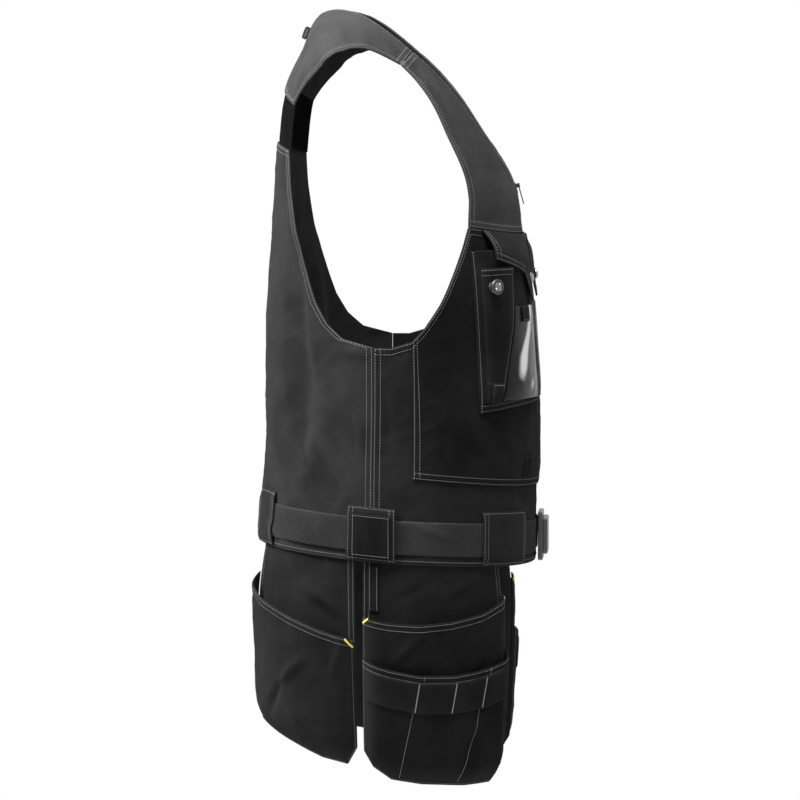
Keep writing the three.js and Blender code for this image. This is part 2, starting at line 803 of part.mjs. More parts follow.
// Turns across a pocket wall, closer together near its sides
function pouchTurns(span) {
  return steps(9).map((u) => lerp(span.rear, span.front, 0.5 - 0.5 * Math.cos(Math.PI * u)));
}

function holsterWall(name, look, side, span, bottom, mouth, lift) {
  cloth(name, look, {
    us: pouchTurns(span),
    vs: [0, 0.25, 0.5, 0.72, 0.9, 1],
    place: (turn, v) => {
      const drop = lerp(along(mouth, turn), along(bottom, turn), v);
      return holsterPoint(side, turn, drop, lift(turn, drop));
    },
  });
}

function foreUpperLift(turn, drop) {
  return LAYER_1 + holsterDepth * pouchLift(FORE, foreBottom, upperMouth, turn, drop);
}

function foreLowerLift(turn, drop) {
  const lower = holsterDepth * 0.45 * pouchLift(FORE, foreBottom, lowerMouth, turn, drop);
  return foreUpperLift(turn, drop) + LAYER_1 + lower;
}

const STRAP_REAR = 98.5;

function holsters(suffix, side) {
  holsterBacking(`holster_rear_back${suffix}`, side, REAR, rearBottom, 7);
  holsterBacking(`holster_front_back${suffix}`, side, FORE, foreBottom, 8);
  holsterWall(`holster_rear_pocket${suffix}`, 'twill', side, REAR, rearBottom, rearMouth, (turn, drop) => {
    return LAYER_1 + holsterDepth * pouchLift(REAR, rearBottom, rearMouth, turn, drop);
  });
  holsterWall(`holster_front_upper${suffix}`, 'twill', side, FORE, foreBottom, upperMouth, foreUpperLift);
  holsterWall(`holster_front_lower${suffix}`, 'twill', side, FORE, foreBottom, lowerMouth, foreLowerLift);
  cloth(`holster_strip${suffix}`, 'webbing', {
    us: pouchTurns(FORE).slice(1, -1),
    vs: [0, 0.5, 1],
    place: (turn, v) => {
      const drop = along(lowerMouth, turn) + 0.035 + (v * stripHeight) / holsterDrop;
      return holsterPoint(side, turn, drop, foreLowerLift(turn, drop) + LAYER_1);
    },
  });
  const strapTurn = turnFor(strapWidth, STRAP_REAR, hemLevel(STRAP_REAR));
  cloth(`holster_strap${suffix}`, 'tape', {
    us: [STRAP_REAR, STRAP_REAR - strapTurn],
    vs: [0, 0.5, 1],
    place: (turn, v) => holsterPoint(side, turn, lerp(0.015, 0.225, v), LAYER_1 - layerGap / 2),
  });
}

// The zip: tapes behind the front edges, a ribbed strip of teeth, a slider with its pull
const ZIP_TOP_ROW = 7.0;

function zip() {
  SIDES.forEach(([suffix, side]) => {
    cloth(`zip_tape${suffix}`, 'tape', {
      us: steps(12).map((u) => lerp(0.04, ZIP_TOP_ROW, u)),
      vs: [0, 1],
      thick: knit,
      trim: 0.1,
      place: (row, v) => {
        const angle = frontAngle(lerp(teethWidth / 2 + 0.4, tapeWidth, v), row);
        return [row, side * angle, -layerGap - knit];
      },
    });
  });
  cloth('zip_teeth', 'plastic', {
    us: steps(24).map((u) => lerp(0.05, ZIP_TOP_ROW - 0.05, u)),
    vs: [-0.5, -0.3, 0.3, 0.5],
    thick: teethHeight,
    trim: 0,
    place: (row, v) => [row, frontAngle(v * teethWidth, row), -layerGap - knit],
  });
}

function roundedBox(width, height, depth, radius, bevel) {
  const w = width / 2 - bevel;
  const h = height / 2 - bevel;
  const shape = new THREE.Shape();
  shape.moveTo(-w + radius, -h);
  shape.lineTo(w - radius, -h);
  shape.quadraticCurveTo(w, -h, w, -h + radius);
  shape.lineTo(w, h - radius);
  shape.quadraticCurveTo(w, h, w - radius, h);
  shape.lineTo(-w + radius, h);
  shape.quadraticCurveTo(-w, h, -w, h - radius);
  shape.lineTo(-w, -h + radius);
  shape.quadraticCurveTo(-w, -h, -w + radius, -h);
  const geometry = new THREE.ExtrudeGeometry(shape, {
    depth: depth - 2 * bevel,
    bevelEnabled: true,
    bevelThickness: bevel,
    bevelSize: bevel,
    bevelSegments: 1,
    curveSegments: 3,
  });
  return geometry.translate(0, 0, bevel);
}

const ZIP_SLIDER_ROW = 6.87;
const pivotRise = sliderHeight + 1.2; // above the slider's foot
const pivotAlong = 2; // from the slider's middle towards its top
const barrelRadius = 1.4;
const barRadius = 0.6;
const boreRadius = 0.9;

// A bar across the zip, along X
function crossBar(radius, length, sides) {
  return new THREE.CylinderGeometry(radius, radius, length, sides).rotateZ(Math.PI / 2);
}

// A frame on the teeth: X across the zip, Y up along it and Z outwards
function onTeeth(mesh) {
  const out = shellNormal(ZIP_SLIDER_ROW, 0);
  const upward = new THREE.Vector3(0, out.z, -out.y);
  const across = new THREE.Vector3().crossVectors(upward, out);
  mesh.position.copy(shell(ZIP_SLIDER_ROW, 0, teethHeight - layerGap - knit + 0.4));
  mesh.quaternion.setFromRotationMatrix(new THREE.Matrix4().makeBasis(across, upward, out));
}

function slider() {
  const footHeight = sliderHeight * 0.55;
  const cheekHeight = pivotRise + barrelRadius - footHeight * 0.5;
  const cheekX = pullWidth / 2 + 0.4 + sliderCheek / 2;
  const cheek = new THREE.BoxGeometry(sliderCheek, 5, cheekHeight);
  const cheeks = [-1, 1].map((hand) => {
    return cheek.clone().translate(hand * cheekX, pivotAlong, footHeight * 0.5 + cheekHeight / 2);
  });
  const bar = crossBar(barRadius, 2 * cheekX, 8).translate(0, pivotAlong, pivotRise);
  const foot = solidOf(roundedBox(sliderWidth, sliderLength, footHeight, 2, 0.5));
  const solid = [...cheeks, bar].reduce((sum, part) => sum.add(solidOf(part)), foot);
  onTeeth(add('zip_slider', geometryOf(solid), 'metal'));

  const barrel = solidOf(crossBar(barrelRadius, pullWidth, 12));
  const bore = solidOf(crossBar(boreRadius, pullWidth + 2, 12));
  const blade = roundedBox(pullWidth, pullLength, pullThickness, 1.6, 0.3);
  const tab = solidOf(blade.translate(0, -pullLength / 2, -pullThickness / 2));
  const pull = geometryOf(tab.add(barrel).subtract(bore)).translate(0, pivotAlong, pivotRise);
  onTeeth(add('zip_pull', pull, 'metal'));
}

function buckle() {
  const level = beltRise - torsoDrop;
  const [row] = around(0, level);
  const face = bareShell(row, 0).y - LAYER_1 - webbing - layerGap;
  const total = socketLength + plugLength;
  const make = (name, length, x, slot) => {
    const lower = roundedBox(length, buckleHeight, buckleBack, 3, 1);
    const upper = roundedBox(length - 5, buckleHeight - 14, buckleFront, 3, 1.4).translate(0, 0, buckleBack - 0.5);
    const bar = new THREE.BoxGeometry(4, beltWidth + 2, buckleBack * 4).translate(slot, 0, 0);
    const solid = solidOf(lower).subtract(solidOf(bar)).add(solidOf(upper));
    const mesh = add(name, geometryOf(solid), 'plastic');
    mesh.rotation.x = Math.PI / 2;
    mesh.position.set(x, face, level);
  };
  make('buckle_socket', socketLength - 0.4, -total / 2 + socketLength / 2, -socketLength / 2 + 5);
  make('buckle_plug', plugLength - 0.4, total / 2 - plugLength / 2, plugLength / 2 - 5);
}

backPanels();
hangerLoop();
SIDES.forEach(([suffix, side]) => {
  frontPanels(suffix, side);
  chestPieces(suffix, side);
  beltLoops(suffix, side);
  holsters(suffix, side);
});
label();
belt();
zip();
slider();
buckle();

export default vest;
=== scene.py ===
import json
import math

import bpy
import numpy as np
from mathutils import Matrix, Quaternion, Vector


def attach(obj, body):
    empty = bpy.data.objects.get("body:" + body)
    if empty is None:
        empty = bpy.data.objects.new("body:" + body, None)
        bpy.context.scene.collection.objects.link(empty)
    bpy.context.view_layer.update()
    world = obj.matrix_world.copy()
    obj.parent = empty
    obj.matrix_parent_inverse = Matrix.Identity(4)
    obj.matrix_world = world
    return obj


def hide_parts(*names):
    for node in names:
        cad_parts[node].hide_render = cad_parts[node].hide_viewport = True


# A utility work vest, held open as it is worn. Metres, +Z up, front towards -Y, the wearer's left at +X.
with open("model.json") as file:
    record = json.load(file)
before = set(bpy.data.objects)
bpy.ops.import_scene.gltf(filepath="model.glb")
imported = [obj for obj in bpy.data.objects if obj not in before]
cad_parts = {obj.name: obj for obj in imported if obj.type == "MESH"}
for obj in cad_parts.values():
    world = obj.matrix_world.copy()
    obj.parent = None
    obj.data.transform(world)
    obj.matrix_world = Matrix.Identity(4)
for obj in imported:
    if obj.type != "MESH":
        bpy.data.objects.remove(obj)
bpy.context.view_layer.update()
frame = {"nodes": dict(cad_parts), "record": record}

MM = 0.001
SIDES = (("_r", -1), ("_l", 1))

# Camera and studio
TARGET = Vector((0, -0.040, -0.414))
CAMERA_DISTANCE = 7.0
CAMERA_TURN = math.radians(3)
CAMERA_RISE = math.radians(3)
SENSOR = 36.0
FRAME_PIXELS = 800
PIXEL = 1.15 * MM
FLOOR_LEVEL = -1.25
FLOOR_RADIUS = 1.25

# Body of the vest, as sizes and as shares of them
TORSO_DROP = 598 * MM
FRONT_DEPTH = 195 * MM
BACK_DEPTH = 120 * MM
HALF_WIDTH = 224 * MM
CORNER_FULLNESS = 0.1
FRONT_EDGE = 7 * MM
HOLSTER_DROP = 246 * MM
HANG_TAPER = 0.07
HALF_TURN = 180
ROW_STEP = 0.02
ANGLE_STEP = 0.5
ROWS_BELOW = 2.0
HALVINGS = 28

TWILL = 1.5 * MM
KNIT = 1.2 * MM
WEBBING = 2.2 * MM
SEAM_GAP = 0.5 * MM
LAYER_GAP = 0.8 * MM
LAYER = TWILL + LAYER_GAP

# Level sections from hem to shoulder ridge: reach and level of the middle, half width, and reach and level of
# the side, as shares of the depth, the drop, the half width, the back's depth and the drop
FRONT_SECTIONS = (
    (-0.994, -0.997, 0.924, -0.341, -0.982),
    (-0.998, -0.912, 0.906, -0.338, -0.888),
    (-1.0, -0.815, 0.893, -0.338, -0.783),
    (-0.999, -0.718, 0.892, -0.342, -0.683),
    (-0.987, -0.596, 0.903, -0.339, -0.558),
    (-0.961, -0.49, 0.913, -0.322, -0.454),
    (-0.914, -0.371, 0.917, -0.291, -0.329),
    (-0.864, -0.273, 0.917, -0.246, -0.238),
    (-0.697, -0.182, 0.914, -0.214, -0.174),
    (-0.53, -0.098, 0.91, -0.17, -0.14),
    (-0.313, -0.017, 0.906, -0.096, -0.133),
    (0.0, 0.06, 0.904, -0.025, -0.116),
)
BACK_SECTIONS = (
    (0.398, 0.046, 0.907, 0.008, -0.109),
    (0.574, -0.021, 0.912, 0.01, -0.131),
    (0.739, -0.096, 0.917, -0.01, -0.186),
    (0.807, -0.193, 0.919, -0.083, -0.261),
    (0.849, -0.304, 0.918, -0.215, -0.345),
    (0.873, -0.426, 0.913, -0.322, -0.454),
    (0.899, -0.554, 0.903, -0.339, -0.558),
    (0.912, -0.694, 0.892, -0.342, -0.683),
    (0.934, -0.789, 0.893, -0.338, -0.783),
    (0.967, -0.877, 0.906, -0.338, -0.888),
    (1.0, -0.954, 0.924, -0.341, -0.982),
)
RIDGE = len(FRONT_SECTIONS) - 1
BACK_HEM = RIDGE + len(BACK_SECTIONS)


def section_sizes(shares, depth):
    return np.array(shares) * (depth, TORSO_DROP, HALF_WIDTH, BACK_DEPTH, TORSO_DROP)


SECTIONS = np.vstack([section_sizes(FRONT_SECTIONS, FRONT_DEPTH), section_sizes(BACK_SECTIONS, BACK_DEPTH)])


# The shell, on arrays of rows and angles
def sections_at(row):
    last = len(SECTIONS) - 1
    row = np.clip(row, 0, last)
    low = np.minimum(np.floor(row).astype(int), last - 1)
    t = (row - low)[..., None]
    b = SECTIONS[low]
    c = SECTIONS[low + 1]
    a = np.where((low > 0)[..., None], SECTIONS[np.maximum(low - 1, 0)], 2 * b - c)
    d = np.where((low + 2 <= last)[..., None], SECTIONS[np.minimum(low + 2, last)], 2 * c - b)
    return b + 0.5 * t * (c - a + t * (2 * a - 5 * b + 4 * c - d + t * (3 * (b - c) + d - a)))


def bare_shell(row, angle):
    hang = np.maximum(np.maximum(-row, row - BACK_HEM), 0)
    reach, level, width, side_reach, side_level = np.moveaxis(sections_at(row), -1, 0)
    turn = np.radians(angle)
    cos = np.cos(turn)
    sin = np.sin(turn)
    taper = 1 - HANG_TAPER * hang * hang
    return np.stack([
        width * taper * sin * (1 + CORNER_FULLNESS * cos * cos),
        side_reach + (reach - side_reach) * taper * cos * (1 + CORNER_FULLNESS * sin * sin),
        side_level + (level - side_level) * cos - hang * HOLSTER_DROP,
    ], -1)


def unit(vectors):
    return vectors / np.maximum(np.linalg.norm(vectors, axis=-1, keepdims=True), 1e-12)


def shell_normal(row, angle):
    aside = bare_shell(row, angle + ANGLE_STEP) - bare_shell(row, angle - ANGLE_STEP)
    onward = bare_shell(row + ROW_STEP, angle) - bare_shell(row - ROW_STEP, angle)
    return unit(np.cross(aside, onward))


# The row at a level: turn 0 is the centre front, 90 the side, 180 the centre back
def around(turn, level):
    turn, level = np.broadcast_arrays(np.asarray(turn, float), np.asarray(level, float))
    front = np.abs(turn) <= 90
    angle = np.where(front, turn, np.sign(turn) * (HALF_TURN - np.abs(turn)))
    low = np.where(front, -ROWS_BELOW, BACK_HEM + ROWS_BELOW)
    high = np.full(turn.shape, float(RIDGE))
    for _ in range(HALVINGS):
        middle = (low + high) / 2
        below = bare_shell(middle, angle)[..., 2] < level
        low = np.where(below, middle, low)
        high = np.where(below, high, middle)
    return low, angle


def hem_level(turn):
    turn = np.abs(np.asarray(turn, float))
    front = turn <= 90
    row = np.where(front, 0.0, float(BACK_HEM))
    return bare_shell(row, np.where(front, turn, HALF_TURN - turn))[..., 2]


def front_angle(distance, row):
    width = sections_at(np.asarray(row, float))[..., 2]
    return np.degrees(np.arcsin(distance / (width * (1 + CORNER_FULLNESS))))


def row_length(row):
    row = np.asarray(row, float)
    step = bare_shell(row + ROW_STEP, 0.0) - bare_shell(row - ROW_STEP, 0.0)
    return float(np.linalg.norm(step) / (2 * ROW_STEP))


def turn_for(width, turn, level):
    ends = bare_shell(*around([turn + 1, turn - 1], level))
    return 2 * width / float(np.linalg.norm(ends[0] - ends[1]))


def ramp(distance, share):
    return np.sin(np.pi / 2 * np.clip(distance / share, 0, 1))


def bell(distance, width):
    return np.exp(-2 * (distance / width) ** 2)


def lerp(start, end, t):
    return start + (end - start) * t


def columns(table):
    return [np.array(column, float) for column in zip(*table)]


# Smooth noise from -1 to 1 on a lattice, whose values are hashed from its places
HASH = (73856093, 19349663, 83492791, 2654435761)
HASH_STIR = 1274126177
HASH_TOP = 0xFFFF
SEED_SHIFT = 7.13


def noise(points, size, seed):
    q = points / size + seed * SEED_SHIFT
    cell = np.floor(q).astype(np.int64)
    f = q - cell
    f = f * f * (3 - 2 * f)
    total = np.zeros(points.shape[:-1])
    for corner in np.ndindex(2, 2, 2):
        x, y, z = np.moveaxis(cell + corner, -1, 0)
        hashed = (x * HASH[0]) ^ (y * HASH[1]) ^ (z * HASH[2]) ^ (seed * HASH[3])
        hashed = (hashed ^ (hashed >> 13)) * HASH_STIR
        value = ((hashed >> 8) & HASH_TOP) / (HASH_TOP / 2) - 1
        total += value * np.prod(np.where(corner, f, 1 - f), -1)
    return total


# Long creases: ridged noise stretched along a direction
def creases(points, along, size, length, seed):
    along = np.array(along, float) / np.linalg.norm(along)
    run = points @ along
    stretched = points + np.outer(run.ravel(), along).reshape(points.shape) * (size / length - 1)
    ridge = 1 - 2 * np.abs(noise(stretched, size, seed))
    return ridge * np.abs(ridge)


# Long soft folds of the back: angle and lean a row, spread in degrees, first and last row, and depth
FOLD_DEPTH = 2.2
FOLDS = (
    dict(angle=22, spread=13, start=15.5, end=21, lean=1.2, depth=3.5 * MM),
    dict(angle=46, spread=11, start=16.5, end=21.2, lean=1.5, depth=-4.5 * MM),
    dict(angle=64, spread=10, start=18.6, end=21.4, lean=-6, depth=3.5 * MM),
)
# Drag lines and dents: from and to as turn and rise above the hem in mm, half width and depth in mm
DRAG_DEPTH = 2.3
DRAG_ENDS = (0.08, 0.92)
DRAGS = (
    (128, 175, 108, 84, 9, 2.6),
    (121, 190, 105, 96, 7, -2.0),
    (136, 150, 114, 78, 8, -2.2),
    (118, 150, 108, 100, 5, 1.6),
    (103, 190, 100, 96, 6, 1.3),
    (110, 250, 99, 246, 8, 1.4),
    (84, 236, 70, 150, 12, 1.1),
    (58, 168, 34, 132, 10, 1.0),
    (94, 236, 90, 120, 8, -1.2),
    (66, 150, 48, 112, 9, -0.9),
    (130, 350, 122, 200, 18, 1.8),
    (150, 60, 128, 4, 7, 1.2),
    (88, 60, 60, 30, 6, 0.8),
    (112, -40, 128, -10, 7, 1.6),
    (108, -62, 121, -28, 6, -1.4),
    (136, -130, 120, -92, 8, 2.0),
    (142, -165, 130, -110, 7, -1.6),
    (121, -180, 133, -140, 8, 1.3),
    (112, -120, 106, -70, 6, 1.2),
    (70, -26, 56, -8, 7, 1.3),
    (88, -30, 74, -8, 6, -1.0),
    (90, -100, 78, -66, 6, 1.2),
    (62, -128, 52, -90, 7, -1.1),
    (66, -196, 54, -150, 8, 1.3),
    (80, -206, 72, -164, 7, -1.0),
)
# Width of one degree of turn
DEGREE = 3.6 * MM


def soft_folds(row, angle, turn, rise):
    total = np.zeros(row.shape)
    for fold in FOLDS:
        run = (row - fold["start"]) / (fold["end"] - fold["start"])
        off = (np.abs(angle) - fold["angle"] - fold["lean"] * (row - fold["start"])) / fold["spread"]
        depth = FOLD_DEPTH * fold["depth"] * np.sin(np.pi * run) * bell(off, 1)
        total += np.where((run > 0) & (run < 1), depth, 0)
    x = np.abs(turn) * DEGREE
    for turn_a, rise_a, turn_b, rise_b, width, depth in DRAGS:
        a = np.array((turn_a * DEGREE, rise_a * MM))
        b = np.array((turn_b * DEGREE, rise_b * MM))
        length = np.linalg.norm(b - a)
        along = (b - a) / length
        t = np.clip(((x - a[0]) * along[0] + (rise - a[1]) * along[1]) / length, 0, 1)
        off = np.hypot(x - a[0] - t * length * along[0], rise - a[1] - t * length * along[1])
        total += DRAG_DEPTH * depth * MM * np.sin(np.pi * np.clip(t, *DRAG_ENDS)) * bell(off, width * MM)
    return total


# Materials
def node_set(name):
    made = bpy.data.materials.new(name)
    made.use_nodes = True
    nodes = made.node_tree.nodes
    return made, nodes, made.node_tree.links, nodes["Principled BSDF"]


def ramped(nodes, links, value, stops):
    made = nodes.new("ShaderNodeValToRGB")
    while len(made.color_ramp.elements) < len(stops):
        made.color_ramp.elements.new(0.5)
    for element, (place, shade) in zip(made.color_ramp.elements, stops):
        element.position = place
        element.color = (*shade, 1) if len(shade) == 3 else shade
    links.new(value, made.inputs[0])
    return made.outputs[0]


def noise_node(nodes, links, coordinates, scale, detail):
    made = nodes.new("ShaderNodeTexNoise")
    made.inputs["Scale"].default_value = scale
    made.inputs["Detail"].default_value = detail
    links.new(coordinates, made.inputs["Vector"])
    return made.outputs["Fac"]


def mixed(nodes, links, factor, first, second, blend="MIX"):
    made = nodes.new("ShaderNodeMix")
    made.data_type = "RGBA"
    made.blend_type = blend
    for socket, value in ((made.inputs[0], factor), (made.inputs[6], first), (made.inputs[7], second)):
        if isinstance(value, bpy.types.NodeSocket):
            links.new(value, socket)
        else:
            socket.default_value = value
    return made.outputs[2]


# Scale of a wave whose period is one metre
WAVE_PERIOD = 2 * math.pi / 20


def wave_node(nodes, links, coordinates, period, angle):
    turned = nodes.new("ShaderNodeMapping")
    turned.inputs["Rotation"].default_value[2] = math.radians(angle)
    links.new(coordinates, turned.inputs["Vector"])
    made = nodes.new("ShaderNodeTexWave")
    made.inputs["Scale"].default_value = WAVE_PERIOD / period
    made.inputs["Distortion"].default_value = 0.6
    made.inputs["Detail"].default_value = 1
    links.new(turned.outputs[0], made.inputs["Vector"])
    return made.outputs["Fac"]


def bumped(nodes, links, shader, heights):
    last = None
    for value, strength, depth in heights:
        made = nodes.new("ShaderNodeBump")
        made.inputs["Strength"].default_value = strength
        made.inputs["Distance"].default_value = depth
        links.new(value, made.inputs["Height"])
        if last is not None:
            links.new(last, made.inputs["Normal"])
        last = made.outputs[0]
    links.new(last, shader.inputs["Normal"])


# Woven cloth: a fine diagonal or ribbed weave, washed patches, and lighter worn edges
PATCH_SCALE = 22
FLECK_SCALE = 900
RUB_SCALE = 160
NAP_SCALE = 260
FLECK_DARK = (0.8, 0.8, 0.8)
FLECK_LIGHT = (1.25, 1.25, 1.25)


def cloth_material(name, shade, weave, rough=0.85, worn=2.2, sheen=0.02):
    made, nodes, links, shader = node_set(name)
    uv = nodes.new("ShaderNodeTexCoord").outputs["UV"]
    place = nodes.new("ShaderNodeTexCoord").outputs["Object"]
    patches = noise_node(nodes, links, place, PATCH_SCALE, 4)
    flecks = noise_node(nodes, links, place, FLECK_SCALE, 2)
    dark = [c * 0.82 for c in shade]
    light = [c * 1.22 for c in shade]
    base = ramped(nodes, links, patches, [(0.32, dark), (0.68, light)])
    fleck_shade = ramped(nodes, links, flecks, [(0.3, FLECK_DARK), (0.72, FLECK_LIGHT)])
    base = mixed(nodes, links, 1.0, base, fleck_shade, "MULTIPLY")
    wear_and_glare = nodes.new("ShaderNodeAttribute")
    wear_and_glare.attribute_name = "wear_and_glare"
    grain = noise_node(nodes, links, place, RUB_SCALE, 3)
    rubbed = nodes.new("ShaderNodeMath")
    rubbed.operation = "MULTIPLY"
    links.new(wear_and_glare.outputs["Fac"], rubbed.inputs[0])
    links.new(grain, rubbed.inputs[1])
    pale = (*[min(c * worn, 1) for c in shade], 1)
    base = mixed(nodes, links, rubbed.outputs[0], base, pale)
    links.new(base, shader.inputs["Base Color"])
    heights = []
    for period, angle, strength, depth in weave:
        heights.append((wave_node(nodes, links, uv, period, angle), strength, depth))
    heights.append((noise_node(nodes, links, place, NAP_SCALE, 3), 0.25, 0.4 * MM))
    bumped(nodes, links, shader, heights)
    shader.inputs["Roughness"].default_value = rough
    shader.inputs["Specular IOR Level"].default_value = 0.0
    shader.inputs["Sheen Weight"].default_value = sheen
    shader.inputs["Sheen Roughness"].default_value = 0.5
    return made


def plain_material(name, shade, rough, metal=0.0, specular=0.5, grain=700, bump=0.15):
    made, nodes, links, shader = node_set(name)
    place = nodes.new("ShaderNodeTexCoord").outputs["Object"]
    value = noise_node(nodes, links, place, grain, 3)
    dark = [c * 0.8 for c in shade]
    light = [min(c * 1.2, 1) for c in shade]
    links.new(ramped(nodes, links, value, [(0.3, dark), (0.7, light)]), shader.inputs["Base Color"])
    roughness = nodes.new("ShaderNodeMapRange")
    roughness.inputs["To Min"].default_value = rough * 0.8
    roughness.inputs["To Max"].default_value = min(rough * 1.25, 1)
    links.new(noise_node(nodes, links, place, grain / 4, 2), roughness.inputs["Value"])
    links.new(roughness.outputs[0], shader.inputs["Roughness"])
    bumped(nodes, links, shader, [(value, bump, 0.2 * MM)])
    shader.inputs["Metallic"].default_value = metal
    shader.inputs["Specular IOR Level"].default_value = specular
    return made


# Weaves: period, angle, strength and depth of each ribbing
TWILL_WEAVE = ((1.1 * MM, 63, 0.5, 0.35 * MM), (0.7 * MM, 0, 0.2, 0.2 * MM))
RIB_WEAVE = ((2.4 * MM, 0, 0.9, 1.0 * MM), (1.2 * MM, 90, 0.5, 0.5 * MM))
KNIT_WEAVE = ((1.3 * MM, 0, 0.7, 0.6 * MM), (1.1 * MM, 90, 0.4, 0.3 * MM))
TAPE_WEAVE = ((1.0 * MM, 45, 0.6, 0.4 * MM), (1.0 * MM, -45, 0.6, 0.4 * MM))

# The yoke and shoulders and the back panel take the front's twill painted lighter where the key and top lights
# fall most: painted light
LOOKS = {
    # Painted light: the front's twill painted lighter for the yoke and shoulders, where the lights fall most
    "yoke_twill": cloth_material("yoke_twill", (0.0135, 0.0135, 0.0135), TWILL_WEAVE),
    "twill": cloth_material("twill", (0.0058, 0.0058, 0.0058), TWILL_WEAVE),
    # Painted light: the front's twill painted lighter for the back panel, under the key light
    "back_twill_painted_lit": cloth_material("back_twill_painted_lit", (0.0095, 0.0095, 0.0095), TWILL_WEAVE),
    "heavy_twill": cloth_material("heavy_twill", (0.0042, 0.0042, 0.0042), TWILL_WEAVE, 0.8),
    "knit": cloth_material("knit", (0.004, 0.004, 0.0043), KNIT_WEAVE, 1.0, 1.3, 0.0),
    "tape": cloth_material("tape", (0.006, 0.006, 0.006), TAPE_WEAVE, 0.8),
    "webbing": cloth_material("webbing", (0.0125, 0.0125, 0.0125), RIB_WEAVE, 0.75),
    "webbing_dark": cloth_material("webbing_dark", (0.0055, 0.0055, 0.0055), TAPE_WEAVE, 0.8),
    "label": cloth_material("label", (0.003, 0.003, 0.003), TAPE_WEAVE, 0.6, 1.5),
    "plastic": plain_material("plastic", (0.02, 0.02, 0.021), 0.32, 0, 0.5),
    "metal": plain_material("metal", (0.20, 0.20, 0.20), 0.3, 1.0, 0.5, 500, 0.1),
    "dark_metal": plain_material("dark_metal", (0.05, 0.05, 0.05), 0.4, 1.0, 0.5, 500, 0.1),
    "thread": plain_material("thread", (0.12, 0.12, 0.118), 0.8, 0, 0.1),
    "bartack": plain_material("bartack", (0.40, 0.38, 0.06), 0.7, 0, 0.1),
    "black_thread": plain_material("black_thread", (0.012, 0.012, 0.012), 0.7, 0, 0.2),
}


# Clear vinyl with a painted glare: a bright reflection painted into its colour and its cover where it bends
def vinyl_material():
    made, nodes, links, shader = node_set("vinyl")
    place = nodes.new("ShaderNodeTexCoord").outputs["Object"]
    bumped(nodes, links, shader, [(noise_node(nodes, links, place, 60, 2), 0.2, 1.5 * MM)])
    # Painted glare, read from the attribute that holds the worn edges on cloth and the glare on the vinyl
    glare = nodes.new("ShaderNodeAttribute")
    glare.attribute_name = "wear_and_glare"
    facing = nodes.new("ShaderNodeLayerWeight")
    slanting = nodes.new("ShaderNodeMapRange")
    slanting.inputs["From Min"].default_value = 0.12
    slanting.inputs["From Max"].default_value = 0.5
    slanting.inputs["To Min"].default_value = 0.12
    links.new(facing.outputs["Facing"], slanting.inputs["Value"])
    seen = nodes.new("ShaderNodeMath")
    seen.operation = "MULTIPLY"
    links.new(glare.outputs["Fac"], seen.inputs[0])
    links.new(slanting.outputs[0], seen.inputs[1])
    # The ramp's bright end is the painted glare
    shades = [(0.15, (0.012, 0.012, 0.012)), (0.8, (0.4, 0.41, 0.42))]
    links.new(ramped(nodes, links, seen.outputs[0], shades), shader.inputs["Base Color"])
    # The painted glare also makes the sheet more opaque
    cover = nodes.new("ShaderNodeMapRange")
    cover.inputs["To Min"].default_value = 0.55
    cover.inputs["To Max"].default_value = 0.9
    links.new(seen.outputs[0], cover.inputs["Value"])
    links.new(cover.outputs[0], shader.inputs["Alpha"])
    shader.inputs["Roughness"].default_value = 0.15
    shader.inputs["IOR"].default_value = 1.25
    shader.inputs["Specular IOR Level"].default_value = 0.25
    return made


LOOKS["vinyl"] = vinyl_material()


# Meshes
SHARP_EDGE = 60


def make(name, points, faces, look, replaced=(), uv=None, wear_and_glare=None):
    mesh = bpy.data.meshes.new(name)
    mesh.from_pydata([tuple(p) for p in points], [], [tuple(f) for f in faces])
    mesh.shade_smooth()
    mesh.set_sharp_from_angle(angle=math.radians(SHARP_EDGE))
    loops = np.zeros(len(mesh.loops), int)
    mesh.loops.foreach_get("vertex_index", loops)
    if uv is not None:
        layer = mesh.uv_layers.new(name="weave")
        layer.data.foreach_set("uv", uv[loops].ravel())
    # The attribute holds the worn edges on cloth and the painted glare on the vinyl
    if wear_and_glare is not None:
        layer = mesh.attributes.new("wear_and_glare", "FLOAT", "POINT")
        layer.data.foreach_set("value", wear_and_glare)
    made = bpy.data.objects.new(name, mesh)
    bpy.context.scene.collection.objects.link(made)
    mesh.materials.append(LOOKS[look])
    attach(made, "vest")
    if replaced:
        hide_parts(*replaced)
    return made


def wall_faces(lines, dots):
    index = np.arange(2 * lines * dots).reshape(2, lines, dots)
    inner, outer = index

    def quads(grid):
        return np.stack([grid[:-1, :-1], grid[1:, :-1], grid[1:, 1:], grid[:-1, 1:]], -1).reshape(-1, 4)

    ring_in = np.concatenate([inner[:-1, 0], inner[-1, :-1], inner[:0:-1, -1], inner[0, :0:-1]])
    ring_out = np.concatenate([outer[:-1, 0], outer[-1, :-1], outer[:0:-1, -1], outer[0, :0:-1]])
    rim = np.stack([ring_out, ring_in, np.roll(ring_in, -1), np.roll(ring_out, -1)], -1)
    return np.vstack([quads(outer), quads(inner)[:, ::-1], rim])


def outward(points, faces):
    a, b, c, d = (points[faces[:, k]] for k in range(4))
    volume = (a * (np.cross(b, c) + np.cross(c, d))).sum()
    return faces if volume > 0 else faces[:, ::-1]


def arc(grid, axis):
    step = np.linalg.norm(np.diff(grid, axis=axis), axis=-1)
    start = np.zeros_like(np.take(step, [0], axis))
    return np.concatenate([start, np.cumsum(step, axis)], axis)


# Steps of a wall: its cells, and finer steps near the rims of a wide one
CELL = 4 * MM
COARSENESS = 1.2
RIM_STEPS = (0.7 * MM, 1.5 * MM, 2.6 * MM)
FINE_RIM_FROM = 20 * MM
SAME_PLACE = 1e-6


def grid_of(us, vs, place):
    u, v = np.meshgrid(us, vs, indexing="ij")
    row, angle, lift = place(u, v)
    return [np.broadcast_to(np.asarray(x, float), u.shape).copy() for x in (row, angle, lift)]


